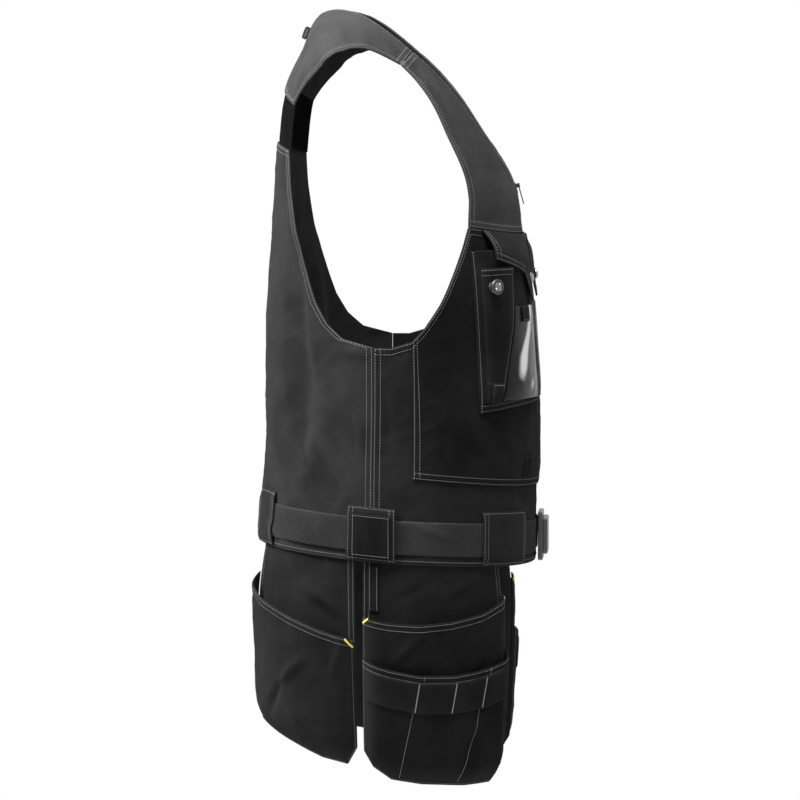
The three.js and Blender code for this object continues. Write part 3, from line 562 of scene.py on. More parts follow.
# More steps where two neighbouring ones are further apart than a cell
def refined(values, lengths, cell):
    result = [values[0]]
    for k in range(len(values) - 1):
        count = max(1, int(math.ceil((lengths[k + 1] - lengths[k]) / (COARSENESS * cell))))
        result += [lerp(values[k], values[k + 1], (n + 1) / count) for n in range(count)]
    span = values[-1] - values[0]
    total = lengths[-1] - lengths[0]
    if total > FINE_RIM_FROM:
        shares = [step / total for step in RIM_STEPS]
        result += [values[0] + span * share for share in shares]
        result += [values[-1] - span * share for share in shares]
    ordered = sorted(set(result), reverse=bool(span < 0))
    kept = [ordered[0]]
    for value in ordered[1:]:
        if abs(value - kept[-1]) > abs(span) * SAME_PLACE:
            kept.append(value)
    return np.array(kept)


# Fine creases: direction, width, length, depth and seed. Unevenness: size, depth and seed.
CREASES = (
    ((0.2, 0.3, 1), 30 * MM, 110 * MM, 1.1 * MM, 3),
    ((0.5, 1, -0.7), 19 * MM, 60 * MM, 0.6 * MM, 5),
)
UNEVEN = ((60 * MM, 1.2 * MM, 11), (9 * MM, 0.12 * MM, 13))


def fine_relief(base):
    total = np.zeros(base.shape[:-1])
    for along, size, length, depth, seed in CREASES:
        total += creases(base, along, size, length, seed) * depth
    for size, depth, seed in UNEVEN:
        total += noise(base, size, seed) * depth
    return total


PIECES = {}
NO_HEM = 1.0
HEM_WIDTH = 8 * MM
HEM_RISE = 0.8 * MM
HEM_STEP = 1.4 * MM
RIM_ROUND = 1.1 * MM
RIM_SHARE = 0.45
QUIET_RIM = 14 * MM
LEFT_FOLDS = 1.15
PUCKER = 0.35 * MM
PUCKER_SIZE = 5 * MM
PUCKER_PLACE = 5 * MM
PUCKER_WIDTH = 6 * MM
GROOVE = 0.22 * MM
GROOVE_PLACES = (2 * MM, 7.4 * MM)
GROOVE_WIDTH = 1.6 * MM
WORN_RIM = 3 * MM
WORN_FOLD = 7 * MM
WORN_FOLD_WIDTH = 2.2 * MM
WORN_CREASE = 1.2 * MM


# A closed cloth wall. place gives row, angle and lift of its inner face; hems names the rims that are folded
# over and stitched: a and z are the first and last line, s and t the first and last dot of each line.
def cloth(name, look, us, vs, place, replaced, *, thick=TWILL, hems="azst", trim=SEAM_GAP / 2,
          rough=1.0, cell=CELL, glare=None):
    us = np.asarray(us, float)
    vs = np.asarray(vs, float)
    coarse = grid_of(us, vs, place)
    us = refined(us, arc(bare_shell(*coarse[:2]), 0).max(1), cell)
    vs = refined(vs, arc(bare_shell(*coarse[:2]), 1).max(0), cell)
    row, angle, lift = grid_of(us, vs, place)
    base = bare_shell(row, angle)
    normal = shell_normal(row, angle)
    along_u = arc(base, 0)
    along_v = arc(base, 1)
    rims = {
        "a": along_u,
        "z": along_u[-1:] - along_u,
        "s": along_v,
        "t": along_v[:, -1:] - along_v,
    }
    unhemmed = np.full(row.shape, NO_HEM)
    hem = np.min([rims[k] if k in hems else unhemmed for k in rims], 0)
    rim = np.min(list(rims.values()), 0)
    turn = np.where(row > RIDGE, HALF_TURN - np.abs(angle), np.abs(angle))
    rise = base[..., 2] + TORSO_DROP
    folds = soft_folds(row, angle, turn, rise) * np.where(angle < 0, 1.0, LEFT_FOLDS)
    fine = fine_relief(base)
    bend = folds + rough * fine * ramp(rim, QUIET_RIM)
    pucker = noise(base, PUCKER_SIZE, 17) * PUCKER * bell(hem - PUCKER_PLACE, PUCKER_WIDTH)
    folded = np.clip((HEM_WIDTH - hem) / HEM_STEP, 0, 1) * HEM_RISE
    grooves = GROOVE * sum(bell(hem - at, GROOVE_WIDTH) for at in GROOVE_PLACES)
    rounding = (1 - ramp(rim, RIM_ROUND)) * thick * RIM_SHARE
    low = lift + bend + rounding
    high = lift + bend + thick + folded + pucker - grooves - rounding
    inner, outer = [drawn_in(base + normal * level[..., None], trim) for level in (low, high)]
    points = np.concatenate([inner.reshape(-1, 3), outer.reshape(-1, 3)])
    uv = np.stack([along_u, along_v], -1).reshape(-1, 2)
    if glare is None:
        wear_and_glare = np.clip(1 - rim / WORN_RIM, 0, 1) * 0.9 + 0.5 * bell(hem - WORN_FOLD, WORN_FOLD_WIDTH)
        wear_and_glare = np.clip(wear_and_glare + np.clip(fine / WORN_CREASE, 0, 0.35), 0, 1).ravel()
    else:
        # On the vinyl the attribute holds a painted glare
        wear_and_glare = glare(turn, rise).ravel()
    faces = outward(points, wall_faces(*row.shape))
    made = make(name, points, faces, look, replaced, np.vstack([uv, uv]), np.concatenate([wear_and_glare, wear_and_glare]))
    size = (
        max(float(along_u[-1].max()), arc(outer, 0)[-1].max()),
        max(float(along_v[:, -1].max()), arc(outer, 1)[-1].max()),
    )
    facing = grid_normal(outer, normal)
    PIECES[name] = dict(grid=outer, us=us, vs=vs, u_arc=along_u, v_arc=along_v, normal=facing)


def drawn_in(grid, trim):
    moved = grid.copy()
    moved[0] += unit(grid[1] - grid[0]) * trim
    moved[-1] += unit(grid[-2] - grid[-1]) * trim
    moved[:, 0] += unit(grid[:, 1] - grid[:, 0]) * trim
    moved[:, -1] += unit(grid[:, -2] - grid[:, -1]) * trim
    return moved


def grid_normal(grid, towards):
    du = np.gradient(grid, axis=0)
    dv = np.gradient(grid, axis=1)
    normal = unit(np.cross(du, dv))
    return normal * np.sign((normal * towards).sum(-1, keepdims=True))


# Stitches, gathered by group and made as a few joined meshes
STITCHES = {}
STITCH_PITCH = 3.3 * MM
STITCH_LENGTH = 2.1 * MM
THREAD = 0.3 * MM
THREAD_SHOWN = 0.35
TWIN_ROWS = (2 * MM, 7.6 * MM)


def sample(piece, i, j, key="grid"):
    grid = PIECES[piece][key]
    i = np.clip(i, 0, grid.shape[0] - 1.001)
    j = np.clip(j, 0, grid.shape[1] - 1.001)
    a = np.floor(i).astype(int)
    b = np.floor(j).astype(int)
    s = (i - a)[:, None]
    t = (j - b)[:, None]
    low = grid[a, b] * (1 - t) + grid[a, b + 1] * t
    high = grid[a + 1, b] * (1 - t) + grid[a + 1, b + 1] * t
    return low * (1 - s) + high * s


def run_of(points):
    return np.concatenate([[0], np.cumsum(np.linalg.norm(np.diff(points, axis=0), axis=1))])


def at_run(places, run, table):
    return np.stack([np.interp(places, run, table[:, k]) for k in range(3)], -1)


# A path at a distance inside one rim of a piece, as grid places
def rim_path(piece, rim, inset, start=0.0, end=1.0):
    data = PIECES[piece]
    lengths = data["u_arc"] if rim in "az" else data["v_arc"].T
    if rim in "zt":
        lengths = lengths[-1:] - lengths
    lines, dots = lengths.shape
    across = np.linspace(start * (dots - 1), end * (dots - 1), 4 * dots)
    low = np.clip(np.floor(across).astype(int), 0, dots - 2)
    order = np.arange(lines)
    depth = []
    for k, x in zip(low, across):
        column = lengths[:, k] * (1 - (x - k)) + lengths[:, k + 1] * (x - k)
        if rim in "zt":
            depth.append(np.interp(inset, column[::-1], order[::-1]))
        else:
            depth.append(np.interp(inset, column, order))
    depth = np.array(depth)
    return (depth, across) if rim in "az" else (across, depth)


# A path through places given in the piece's own u and v
def line_path(piece, us, vs, count=160):
    data = PIECES[piece]
    t = np.linspace(0, 1, len(us))
    fine = np.linspace(0, 1, count)

    def places(values, axis):
        order = np.arange(len(axis))
        values = np.interp(fine, t, values)
        return np.interp(values, axis, order) if axis[-1] > axis[0] else np.interp(-values, -axis, order)

    return places(us, data["us"]), places(vs, data["vs"])


def stitch(piece, path, group="thread", pitch=STITCH_PITCH, length=STITCH_LENGTH, radius=THREAD):
    points = sample(piece, *path)
    normals = unit(sample(piece, *path, "normal"))
    run = run_of(points)
    if run[-1] < pitch:
        return
    middle = np.arange(pitch * 0.7, run[-1] - pitch * 0.4, pitch)
    out = unit(at_run(middle, run, normals))
    start = at_run(middle - length / 2, run, points) + out * radius * THREAD_SHOWN
    end = at_run(middle + length / 2, run, points) + out * radius * THREAD_SHOWN
    STITCHES.setdefault(group, []).append((start, end, out, radius))


def hem_stitches(piece, rims, *insets):
    for inset in insets:
        for rim in rims:
            stitch(piece, rim_path(piece, rim, inset))


# A straight row of close satin stitches across a line
BARTACK = 1.3 * MM
TACK_PITCH = 0.55 * MM
TACK_START = 0.3 * MM
TACK_RISE = 0.3 * MM
TACK_THREAD = 0.32 * MM


def bartack(piece, at, towards, group, width):
    us, vs = zip(at, towards)
    path = line_path(piece, us, vs, 40)
    points = sample(piece, *path)
    run = run_of(points)
    middle = np.arange(TACK_START, run[-1], TACK_PITCH)
    out = unit(at_run(middle, run, unit(sample(piece, *path, "normal"))))
    centre = at_run(middle, run, points) + out * TACK_RISE
    across = unit(np.cross(out, unit(points[-1:] - points[:1]))) * width
    STITCHES.setdefault(group, []).append((centre - across, centre + across, out, TACK_THREAD))


# A stitch: rings of four points, by share of its length and by thickness
STITCH_RINGS = ((0.0, 0.0), (0.16, 0.75), (0.5, 1.0), (0.84, 0.75), (1.0, 0.0))
STITCH_CORNERS = ((1, 0), (0, 1), (-1, 0), (0, -1))
CORNERS = len(STITCH_CORNERS)
STITCH_POINTS = len(STITCH_RINGS) * CORNERS
STITCHES_A_PIECE = 4500


def stitch_mesh(runs):
    points, faces, used = [], [], 0
    for start, end, out, radius in runs:
        along = end - start
        aside = unit(np.cross(along, out)) * radius
        up = out * radius
        rings = []
        for share, size in STITCH_RINGS:
            centre = start + along * share + up * (size - 0.9) * 0.6
            rings.append([centre + (aside * x + up * y * 0.8) * max(size, 0.15) for x, y in STITCH_CORNERS])
        stitches = np.stack([np.stack(ring, 1) for ring in rings], 1)
        count = len(stitches)
        first = used + np.arange(count)[:, None] * STITCH_POINTS
        for ring in range(len(STITCH_RINGS) - 1):
            for k in range(CORNERS):
                a = ring * CORNERS + k
                b = ring * CORNERS + (k + 1) % CORNERS
                quad = [first + a, first + b, first + b + CORNERS, first + a + CORNERS]
                faces.append(np.concatenate(quad, 1))
        faces.append(first + np.arange(CORNERS)[::-1])
        faces.append(first + STITCH_POINTS - CORNERS + np.arange(CORNERS))
        points.append(stitches.reshape(-1, 3))
        used += count * STITCH_POINTS
    return np.concatenate(points), np.concatenate(faces)


def make_stitches():
    for group, runs in STITCHES.items():
        points, faces = stitch_mesh(runs)
        total = len(points) // STITCH_POINTS
        look = group.split("-")[0]
        for first in range(0, total, STITCHES_A_PIECE):
            low = first * STITCH_POINTS
            high = min((first + STITCHES_A_PIECE) * STITCH_POINTS, len(points))
            chosen = faces[(faces[:, 0] >= low) & (faces[:, 0] < high)] - low
            number = f"_{first // STITCHES_A_PIECE + 1}" if total > STITCHES_A_PIECE else ""
            make(f"stitches_{look}{number}", points[low:high], chosen, look)


# Seams of the shell, as rows and angles. The shoulder: row, outer and inner angle. The yoke: row and angle of
# the neck edge and of the outer edge. The back panel: row and angle of its edge. The front: angle and top row.
UNDERARM_ROW = 3.84
SIDE_SEAM = 97
CHEST_SEAM_ROW = 6
POCKET_REAR = 82
SHOULDER = (
    (6, 54, 0), (6.5, 52, 0), (6.9, 51.8, 0), (7.12, 51.8, 0), (7.35, 51.7, 4.8), (7.6, 51.5, 8),
    (8, 50.7, 11), (8.6, 48.8, 14.8), (9.2, 46.8, 18.2), (9.6, 45.6, 21), (10, 45, 24),
)
YOKE = (
    (10, 24, 10, 45), (10.5, 25.5, 10.5, 51), (10.85, 26, 11, 57), (11.1, 25, 11.5, 60.5),
    (11.3, 22.5, 12.1, 60.5), (11.45, 19.5, 12.7, 56.5), (11.6, 16, 13.3, 49.5), (11.7, 13, 14.1, 41),
    (11.8, 10, 14.08, 30), (11.9, 6, 14.04, 17), (12, 0, 14, 0),
)
# Line of the yoke's table where its outer edge turns in to the back
YOKE_CORNER = 7
BACK_TOP_ROW = 15.02
BACK_PANEL = (
    (BACK_TOP_ROW, 39), (15.7, 41.2), (16.36, 45.2), (16.95, 50.9), (17.5, 57.5), (17.82, 63.5),
    (18.04, 70.6), (18.16, 83), (18.8, 83), (19.5, 83), (20.2, 83), (21, 83), (BACK_HEM, 83),
)
FRONT = (
    (0, 6), (8, 6), (16, 6), (24, 6), (32, 6), (40, 6), (47, 6), (54, 6), (57.7, 5.69), (65, 5.14),
    (70.3, 4.71), (77, 4.24), (POCKET_REAR, 3.98), (90, UNDERARM_ROW), (SIDE_SEAM, UNDERARM_ROW),
)
FRONT_POCKET_ROW = 84 * MM / row_length(0.7)
FRONT_POCKET_DEPTH = 5 * MM


# Share of the insert hidden behind the cloth above and below it
TUCK_UNDER = 0.1
INSERT_SUNK = 0.3 * MM


def back_pieces():
    neck_row, neck, outer_row, outer = columns(YOKE)
    ring_neck_row = np.concatenate([neck_row, neck_row[-2::-1]])
    ring_neck = np.concatenate([neck, -neck[-2::-1]])
    ring_outer_row = np.concatenate([outer_row, outer_row[-2::-1]])
    ring_outer = np.concatenate([outer, -outer[-2::-1]])
    ring = range(len(ring_neck))

    def yoke_place(i, v):
        row = lerp(np.interp(i, ring, ring_neck_row), np.interp(i, ring, ring_outer_row), v)
        return row, lerp(np.interp(i, ring, ring_neck), np.interp(i, ring, ring_outer), v), 0

    yoke = "yoke_cloth"
    # The yoke's twill is painted lighter for the light that falls on it: painted light
    cloth(yoke, "yoke_twill", ring, np.linspace(0, 1, 5), yoke_place, ["back_yoke"], rough=0.6,
          cell=3.4 * MM)
    edge = outer[YOKE_CORNER:]
    edge_row = outer_row[YOKE_CORNER:]
    order = np.argsort(edge)

    def insert_place(u, v):
        angle = u * lerp(edge[0], BACK_PANEL[0][1], v)
        top = np.interp(np.abs(angle), edge[order], edge_row[order])
        return lerp(top, BACK_TOP_ROW, lerp(-TUCK_UNDER, 1 + TUCK_UNDER, v)), angle, -KNIT - INSERT_SUNK

    cloth("insert_cloth", "knit", np.linspace(-1, 1, 9), np.linspace(0, 1, 4), insert_place,
          ["back_stretch_insert"], thick=KNIT, hems="az", rough=0.5)
    rows, limits = columns(BACK_PANEL)
    steps = range(len(BACK_PANEL))

    def panel_place(u, i):
        return np.interp(i, steps, rows), u * np.interp(i, steps, limits), 0

    panel = "back_panel_cloth"
    # The back panel's twill is painted lighter for the key light behind it: painted light
    cloth(panel, "back_twill_painted_lit", np.linspace(-1, 1, 11), steps, panel_place, ["back_panel"], hems="st")
    for inset in TWIN_ROWS:
        stitch(yoke, rim_path(yoke, "t", inset, 0.34, 0.66))
        hem_stitches(panel, "s", inset)
        hem_stitches(yoke, "az", inset)
        hem_stitches(panel, "az", inset)
    stitch(yoke, rim_path(yoke, "t", 5 * MM, 0.0, 0.345))
    stitch(yoke, rim_path(yoke, "t", 5 * MM, 0.655, 1.0))
    hem_stitches(yoke, "s", 4 * MM)
    hem_stitches(panel, "t", 4.5 * MM)


HANGER_ROW = 12.6
HANGER_LENGTH = 62 * MM
HANGER_WIDTH = 14 * MM
HANGER_STAND = 5 * MM


def hanger():
    half = float(front_angle(HANGER_LENGTH / 2, HANGER_ROW))
    row_height = row_length(HANGER_ROW)

    def place(u, v):
        stand = HANGER_STAND * ramp(1 - np.abs(u), 0.5)
        return HANGER_ROW + v * HANGER_WIDTH / row_height, u * half, LAYER + stand

    name = "hanger_loop_cloth"
    cloth(name, "tape", np.linspace(-1, 1, 9), [-0.5, 0.5], place, ["hanger_loop"], hems="",
          rough=0.2, cell=2.5 * MM)
    for end in (-0.93, 0.93):
        stitch(name, line_path(name, [end, end], [-0.42, 0.42], 20), pitch=2 * MM, length=1.6 * MM)


POCKET_FADE_ROW = 2.9
POCKET_FADE = 1.2


def front_pocket_lift(angle, row):
    angle = np.abs(angle)
    below = 1 - ramp(row - POCKET_FADE_ROW, POCKET_FADE)
    low = ramp(row - FRONT_POCKET_ROW, 0.8)
    return FRONT_POCKET_DEPTH * ramp(POCKET_REAR - angle, 22) * low * below * ramp(angle, 18)


def front_pieces(suffix, side):
    rows, outer, neck = columns(SHOULDER)
    shoulder_lines = range(len(SHOULDER))

    def shoulder_place(i, v):
        row = np.interp(i, shoulder_lines, rows)
        inner = np.maximum(np.interp(i, shoulder_lines, neck), front_angle(FRONT_EDGE, row))
        return row, side * lerp(inner, np.interp(i, shoulder_lines, outer), v), 0

    shoulder = f"shoulder_cloth{suffix}"
    # The shoulders share the yoke's twill, painted lighter for the light from above: painted light
    cloth(shoulder, "yoke_twill", shoulder_lines, np.linspace(0, 1, 5), shoulder_place,
          [f"front_shoulder{suffix}"], rough=0.7, cell=3.4 * MM)
    hem_stitches(shoulder, "atz", *TWIN_ROWS)
    hem_stitches(shoulder, "s", 4 * MM)
    angles, tops = columns(FRONT)
    lines = range(len(FRONT))

    def panel_place(i, v):
        angle = np.interp(i, lines, angles)
        row = v * np.interp(i, lines, tops)
        inside = np.maximum(angle, front_angle(FRONT_EDGE, row))
        behind = angle > 90
        row = np.where(behind, BACK_HEM - row, row)
        return row, side * np.where(behind, HALF_TURN - angle, inside), 0

    panel = f"front_panel_cloth{suffix}"
    cloth(panel, "twill", lines, np.linspace(0, 1, 9), panel_place, [f"front_panel{suffix}"],
          hems="zst")

    def pocket_place(i, v):
        angle = np.interp(i, lines, angles)
        row = lerp(FRONT_POCKET_ROW, np.interp(i, lines, tops), v)
        inner = np.maximum(angle, front_angle(FRONT_EDGE, row))
        return row, side * inner, LAYER + front_pocket_lift(angle, row)

    pocket = f"front_pocket_cloth{suffix}"
    pocket_lines = [i for i in lines if angles[i] <= POCKET_REAR]
    cloth(pocket, "heavy_twill", pocket_lines, np.linspace(0, 1, 8), pocket_place,
          [f"front_pocket{suffix}"])
    for inset in (2 * MM, 7.8 * MM):
        hem_stitches(pocket, "azs", inset)
        stitch(pocket, rim_path(pocket, "t", inset, 0.5, 1.0))
        hem_stitches(panel, "z", inset)
        stitch(panel, rim_path(panel, "t", inset, 0.84, 1.0))
    hem_stitches(panel, "s", 4.5 * MM)


# Chest pocket with what is on it, in turns and rises above the hem
CHEST_RISE = 178 * MM
CHEST_TOP = CHEST_RISE + 182 * MM
CHEST_OUTER = 56
CHEST_INNER = 13
CHEST_DEPTH = 11 * MM
CHEST_EASE = 34
CHEST_TURNS = (CHEST_OUTER, 54.4, 52, 48, 42, 36, 30, 24, 18, CHEST_INNER)
FLAP_OUTER = 48
FLAP_HEIGHT = 34 * MM
TONGUE_DROP = 42 * MM
FLAP_STAND = 5 * MM
FLAP_EDGE = ((8, 0.3), (12, 0.66), (15.5, 0.94), (19.5, 1), (24, 0.66), (28, 0.3), (33, 0.2), (FLAP_OUTER, 0))
FLAP_TURNS = (FLAP_OUTER, 43, 38, 33, 28, 24, 19.5, 15.5, 12, 8)
PEN_BOTTOM = CHEST_RISE + 12 * MM
PEN_TOP = PEN_BOTTOM + 150 * MM
PEN_OUTER = 54
PEN_INNER = ((10, 47.5), (34, 46.3), (56, 44.2), (100, 39.8), (182, 36.5))
WINDOW_BOTTOM = CHEST_RISE + 14 * MM
WINDOW_HEIGHT = 104 * MM
WINDOW_INNER = 16.5
TAB_HEIGHT = 18 * MM


def chest_bottom(turn):
    rises = (CHEST_RISE + 9 * MM, CHEST_RISE + 5 * MM, CHEST_RISE)
    return np.interp(turn, (CHEST_INNER, 38, CHEST_OUTER), rises)


def chest_base(turn, rise):
    stand = ramp(turn - CHEST_INNER, CHEST_EASE) * ramp(CHEST_OUTER - turn, 5)
    stand = stand * ramp(rise - chest_bottom(turn), 30 * MM)
    row, angle = around(turn, rise - TORSO_DROP)
    return 2 * LAYER + front_pocket_lift(angle, row) + CHEST_DEPTH * stand


def on_chest(side, turn, rise, lift):
    row, angle = around(turn, rise - TORSO_DROP)
    return row, side * angle, lift


def pen_inner(rise):
    heights, turns = columns(PEN_INNER)
    return np.interp(rise, CHEST_RISE + heights * MM, turns)


def pen_lift(turn, rise):
    bulge = ramp(turn - pen_inner(rise), 5) * ramp(PEN_OUTER - turn, 5)
    return chest_base(turn, rise) + LAYER + 3 * MM * bulge


def window_lift(turn, rise):
    return chest_base(turn, rise) + LAYER + 0.6 * MM


# Painted glare on the bent vinyl: bright bands painted by turn and rise, a long slanting one and a short one
# near the bottom
def window_glare(turn, rise):
    heights = np.array((0, 24, 50, 76, WINDOW_HEIGHT / MM)) * MM + WINDOW_BOTTOM
    middle = np.interp(rise, heights, (31, 36.5, 33, 27, 23.5))
    width = np.interp(rise, heights, (3, 5.5, 5.5, 3.6, 2.6))
    long = bell(turn - middle, width) * ramp(rise - WINDOW_BOTTOM - 14 * MM, 34 * MM)
    short = bell(turn - 27 + 60 * (rise - WINDOW_BOTTOM), 4) * bell(rise - WINDOW_BOTTOM - 16 * MM, 13 * MM)
    return np.clip(1.5 * long - 0.2 + 0.8 * short, 0, 1)


def flap_place(turn, share):
    edges, drops = columns(FLAP_EDGE)
    drop = share * (FLAP_HEIGHT + TONGUE_DROP * np.interp(turn, edges, drops))
    opened = ramp(drop, FLAP_HEIGHT * 0.8) * ramp(turn - 6, 12)
    top = TORSO_DROP + bare_shell(np.full(np.shape(turn), float(CHEST_SEAM_ROW)), turn)[..., 2] - TWILL
    full = CHEST_DEPTH * ramp(turn - CHEST_INNER, CHEST_EASE)
    return top - drop, 2 * LAYER + opened * (full + FLAP_STAND)


def chest_pieces(suffix, side):
    def pocket_place(turn, v):
        rise = lerp(chest_bottom(turn), CHEST_TOP, v)
        return on_chest(side, turn, rise, chest_base(turn, rise))

    pocket = f"chest_pocket_cloth{suffix}"
    cloth(pocket, "heavy_twill", CHEST_TURNS, np.linspace(0, 1, 8), pocket_place,
          [f"chest_pocket{suffix}"], rough=0.7, cell=3 * MM)
    hem_stitches(pocket, "as", 2 * MM)
    hem_stitches(pocket, "s", 8 * MM)
    hem_stitches(pocket, "z", 3 * MM)

    def pen_place(u, v):
        rise = lerp(PEN_BOTTOM, PEN_TOP, v)
        turn = lerp(PEN_OUTER, pen_inner(rise) + 0.6, u)
        return on_chest(side, turn, rise, pen_lift(turn, rise))

    pen = f"pen_pocket_cloth{suffix}"
    cloth(pen, "heavy_twill", [0, 0.15, 0.4, 0.7, 1], [0, 0.12, 0.3, 0.5, 0.75, 1], pen_place,
          [f"pen_pocket{suffix}"], hems="t", rough=0.5, cell=2.6 * MM)
    hem_stitches(pen, "t", 2.5 * MM, 8 * MM)
    hem_stitches(pen, "z", 2 * MM)
    stitch(pen, line_path(pen, [0, 0.8], [0.15, 0.15]), "black_thread")

    def window_place(u, v):
        rise = WINDOW_BOTTOM + v * WINDOW_HEIGHT
        turn = lerp(pen_inner(rise) - 0.6, WINDOW_INNER, u)
        wave = 0.8 * MM * np.sin(5 * v + 3 * u) * np.sin(np.pi * u) * np.sin(np.pi * v)
        return on_chest(side, turn, rise, window_lift(turn, rise) + wave)

    window = f"id_window_sheet{suffix}"
    # The window's colour carries a painted glare
    cloth(window, "vinyl", np.linspace(0, 1, 5), np.linspace(0, 1, 7), window_place,
          [f"id_window{suffix}"], thick=1 * MM, hems="", rough=0.3, cell=2 * MM, glare=window_glare)

    def tab_place(turn, v):
        rise = WINDOW_BOTTOM + WINDOW_HEIGHT - TAB_HEIGHT * (1 - v)
        return on_chest(side, turn, rise, window_lift(turn, rise) + 1.8 * MM)

    tab = f"id_tab_cloth{suffix}"
    cloth(tab, "tape", [27, 30.5, 34], np.linspace(0, 1, 3), tab_place, [f"id_tab{suffix}"], hems="",
          rough=0.2, cell=2 * MM)
    stitch(tab, rim_path(tab, "s", 2 * MM), pitch=2.4 * MM, length=1.9 * MM)

    def loop_place(turn, v):
        rise = PEN_BOTTOM + 22 * MM * v
        return on_chest(side, turn, rise, pen_lift(turn, rise) + LAYER)

    loop = f"pen_loop_cloth{suffix}"
    cloth(loop, "tape", [48.5, 50, 51.5, 53], [0, 1], loop_place, [f"pen_loop{suffix}"], hems="",
          rough=0.2, cell=2 * MM)
    stitch(loop, rim_path(loop, "t", 2 * MM), pitch=2.4 * MM, length=1.9 * MM)

    def flap(turn, v):
        rise, lift = flap_place(turn, v)
        return on_chest(side, turn, rise, lift)

    name = f"chest_flap_cloth{suffix}"
    cloth(name, "twill", FLAP_TURNS, [0, 0.2, 0.45, 0.7, 1], flap, [f"chest_flap{suffix}"],
          hems="azt", rough=0.6, cell=2.6 * MM)
    hem_stitches(name, "at", *TWIN_ROWS)
    hem_stitches(name, "z", 2 * MM)


LABEL_WIDTH = 24 * MM
LABEL_HEIGHT = 27 * MM
LABEL_TURN = 26
LABEL_RISE = 100 * MM


def label():
    middle = LABEL_RISE + LABEL_HEIGHT / 2 - TORSO_DROP
    half = turn_for(LABEL_WIDTH, LABEL_TURN, middle) / 2

    def place(u, v):
        row, angle = around(LABEL_TURN + u * half, middle + v * LABEL_HEIGHT / 2)
        return row, -angle, 2 * LAYER + front_pocket_lift(angle, row)

    name = "pocket_label_cloth"
    cloth(name, "label", [-1, 1], [-1, 1], place, ["pocket_label_r"], thick=1 * MM, hems="",
          rough=0.15, cell=2 * MM)
    for rim in "azst":
        stitch(name, rim_path(name, rim, 1.4 * MM), "black_thread", 2 * MM, 1.5 * MM, 0.25 * MM)


# Belt and loops
BELT_RISE = 30 * MM
BELT_WIDTH = 38 * MM
BELT_END = 7
LOOP_HEIGHT = 61 * MM
LOOP_RISE = 1 * MM


def belt():
    def place(turn, v):
        signed = np.where(turn > HALF_TURN, turn - 2 * HALF_TURN, turn)
        row, angle = around(signed, hem_level(signed) + BELT_RISE + v * BELT_WIDTH)
        edge = 0.5 - np.abs(v)
        return row, angle, LAYER - 0.5 * MM * (1 - ramp(edge, 0.08))

    turns = np.linspace(BELT_END, 2 * HALF_TURN - BELT_END, 43)
    cloth("belt_cloth", "webbing", turns, [-0.5, -0.46, 0, 0.46, 0.5], place, ["belt_webbing"],
          thick=WEBBING, hems="", rough=0.4, cell=3.5 * MM)


def loop_lift(share):
    return LAYER + ramp(share, 0.16) * ramp(1 - share, 0.16) * (WEBBING + LAYER_GAP)


def belt_loop(name, node, look, side, start, end, low, high, base):
    def place(turn, share):
        row, angle = around(turn, hem_level(turn) + LOOP_RISE + share * LOOP_HEIGHT)
        return row, side * angle, base + loop_lift(share)

    cloth(name, look, [start, lerp(start, end, 0.5), end], np.linspace(low, high, 9), place, [node],
          hems="az", rough=0.35, cell=2.6 * MM)
    hem_stitches(name, "az", *((2.2 * MM, 7 * MM) if base == 0 else (2 * MM,)))
    hem_stitches(name, "st", 2.5 * MM)


# Name, node, look, first and last turn, lowest and highest share of the height, and lift of what is under it
BELT_LOOPS = (
    ("back_loop", "back_loop", "twill", 143.5, 160, 0.0, 1.0, 0.0),
    ("side_loop", "side_loop", "twill", 88.3, 106.3, 0.0, 1.0, 0.0),
    ("side_patch", "side_loop_patch", "heavy_twill", 90.3, 104.3, 0.06, 0.85, LAYER),
    ("front_loop", "front_loop", "twill", 26.5, 53.4, 0.0, 1.0, 0.0),
)


def belt_loops(suffix, side):
    for name, node, look, *extent in BELT_LOOPS:
        belt_loop(f"{name}_cloth{suffix}", node + suffix, look, side, *extent)


# Holsters: turns, and drops as shares of the holsters' drop
REAR = (103.5, 156)
FORE = (42, 100.5)
REAR_BOTTOM = ((103.5, 0.86), (107.5, 0.94), (118, 0.925), (130, 0.885), (145, 0.84), (156, 0.81))
REAR_MOUTH = ((103.5, 0.36), (116, 0.325), (128.5, 0.28), (143, 0.225), (152, 0.165), (156, 0.13))
FORE_BOTTOM = ((42, 0.9), (48, 0.985), (60, 1), (78, 1), (90, 0.985), (97, 0.935), (100.5, 0.865))
UPPER_MOUTH = ((42, 0.12), (47, 0.15), (56, 0.205), (68, 0.245), (80, 0.265), (90, 0.262), (100.5, 0.25))
LOWER_MOUTH = ((42, 0.375), (47, 0.41), (56, 0.455), (68, 0.485), (80, 0.49), (90, 0.47), (100.5, 0.44))
REAR_EXTRA = (110.5, 149)
FORE_EXTRA = (49, 93.5)
HOLSTER_ROW = 2.4 * MM
FLARE = 9 * MM
SLOT_LINES = ((78, 81.5, 87), (54, 57.5, 64))
STRIP_TURNS = (98.7, 43.8)
STRIP_WIDTH = 34 * MM
STRIP_DROP = 0.035
STRIP_TACKS = ((80, 81.5), (67, 68.5), (56, 57.5))
STRAP_TURN = 98.5
STRAP_WIDTH = 12 * MM
STRAP_DROPS = (0.015, 0.225)
HOLSTER_DEPTH = 14 * MM
TUCK = -26 * MM / HOLSTER_DROP
BEHIND = -TWILL - LAYER_GAP


def on_table(table, turn):
    turns, drops = columns(table)
    return np.interp(turn, turns, drops)


def holster_point(side, turn, drop, lift):
    row, angle = around(turn, hem_level(turn) - drop * HOLSTER_DROP)
    flare = FLARE * ramp(np.abs(turn - 90) - 20, 60) * ramp(drop - 0.01, 0.3)
    return row, side * angle, BEHIND + flare + lift


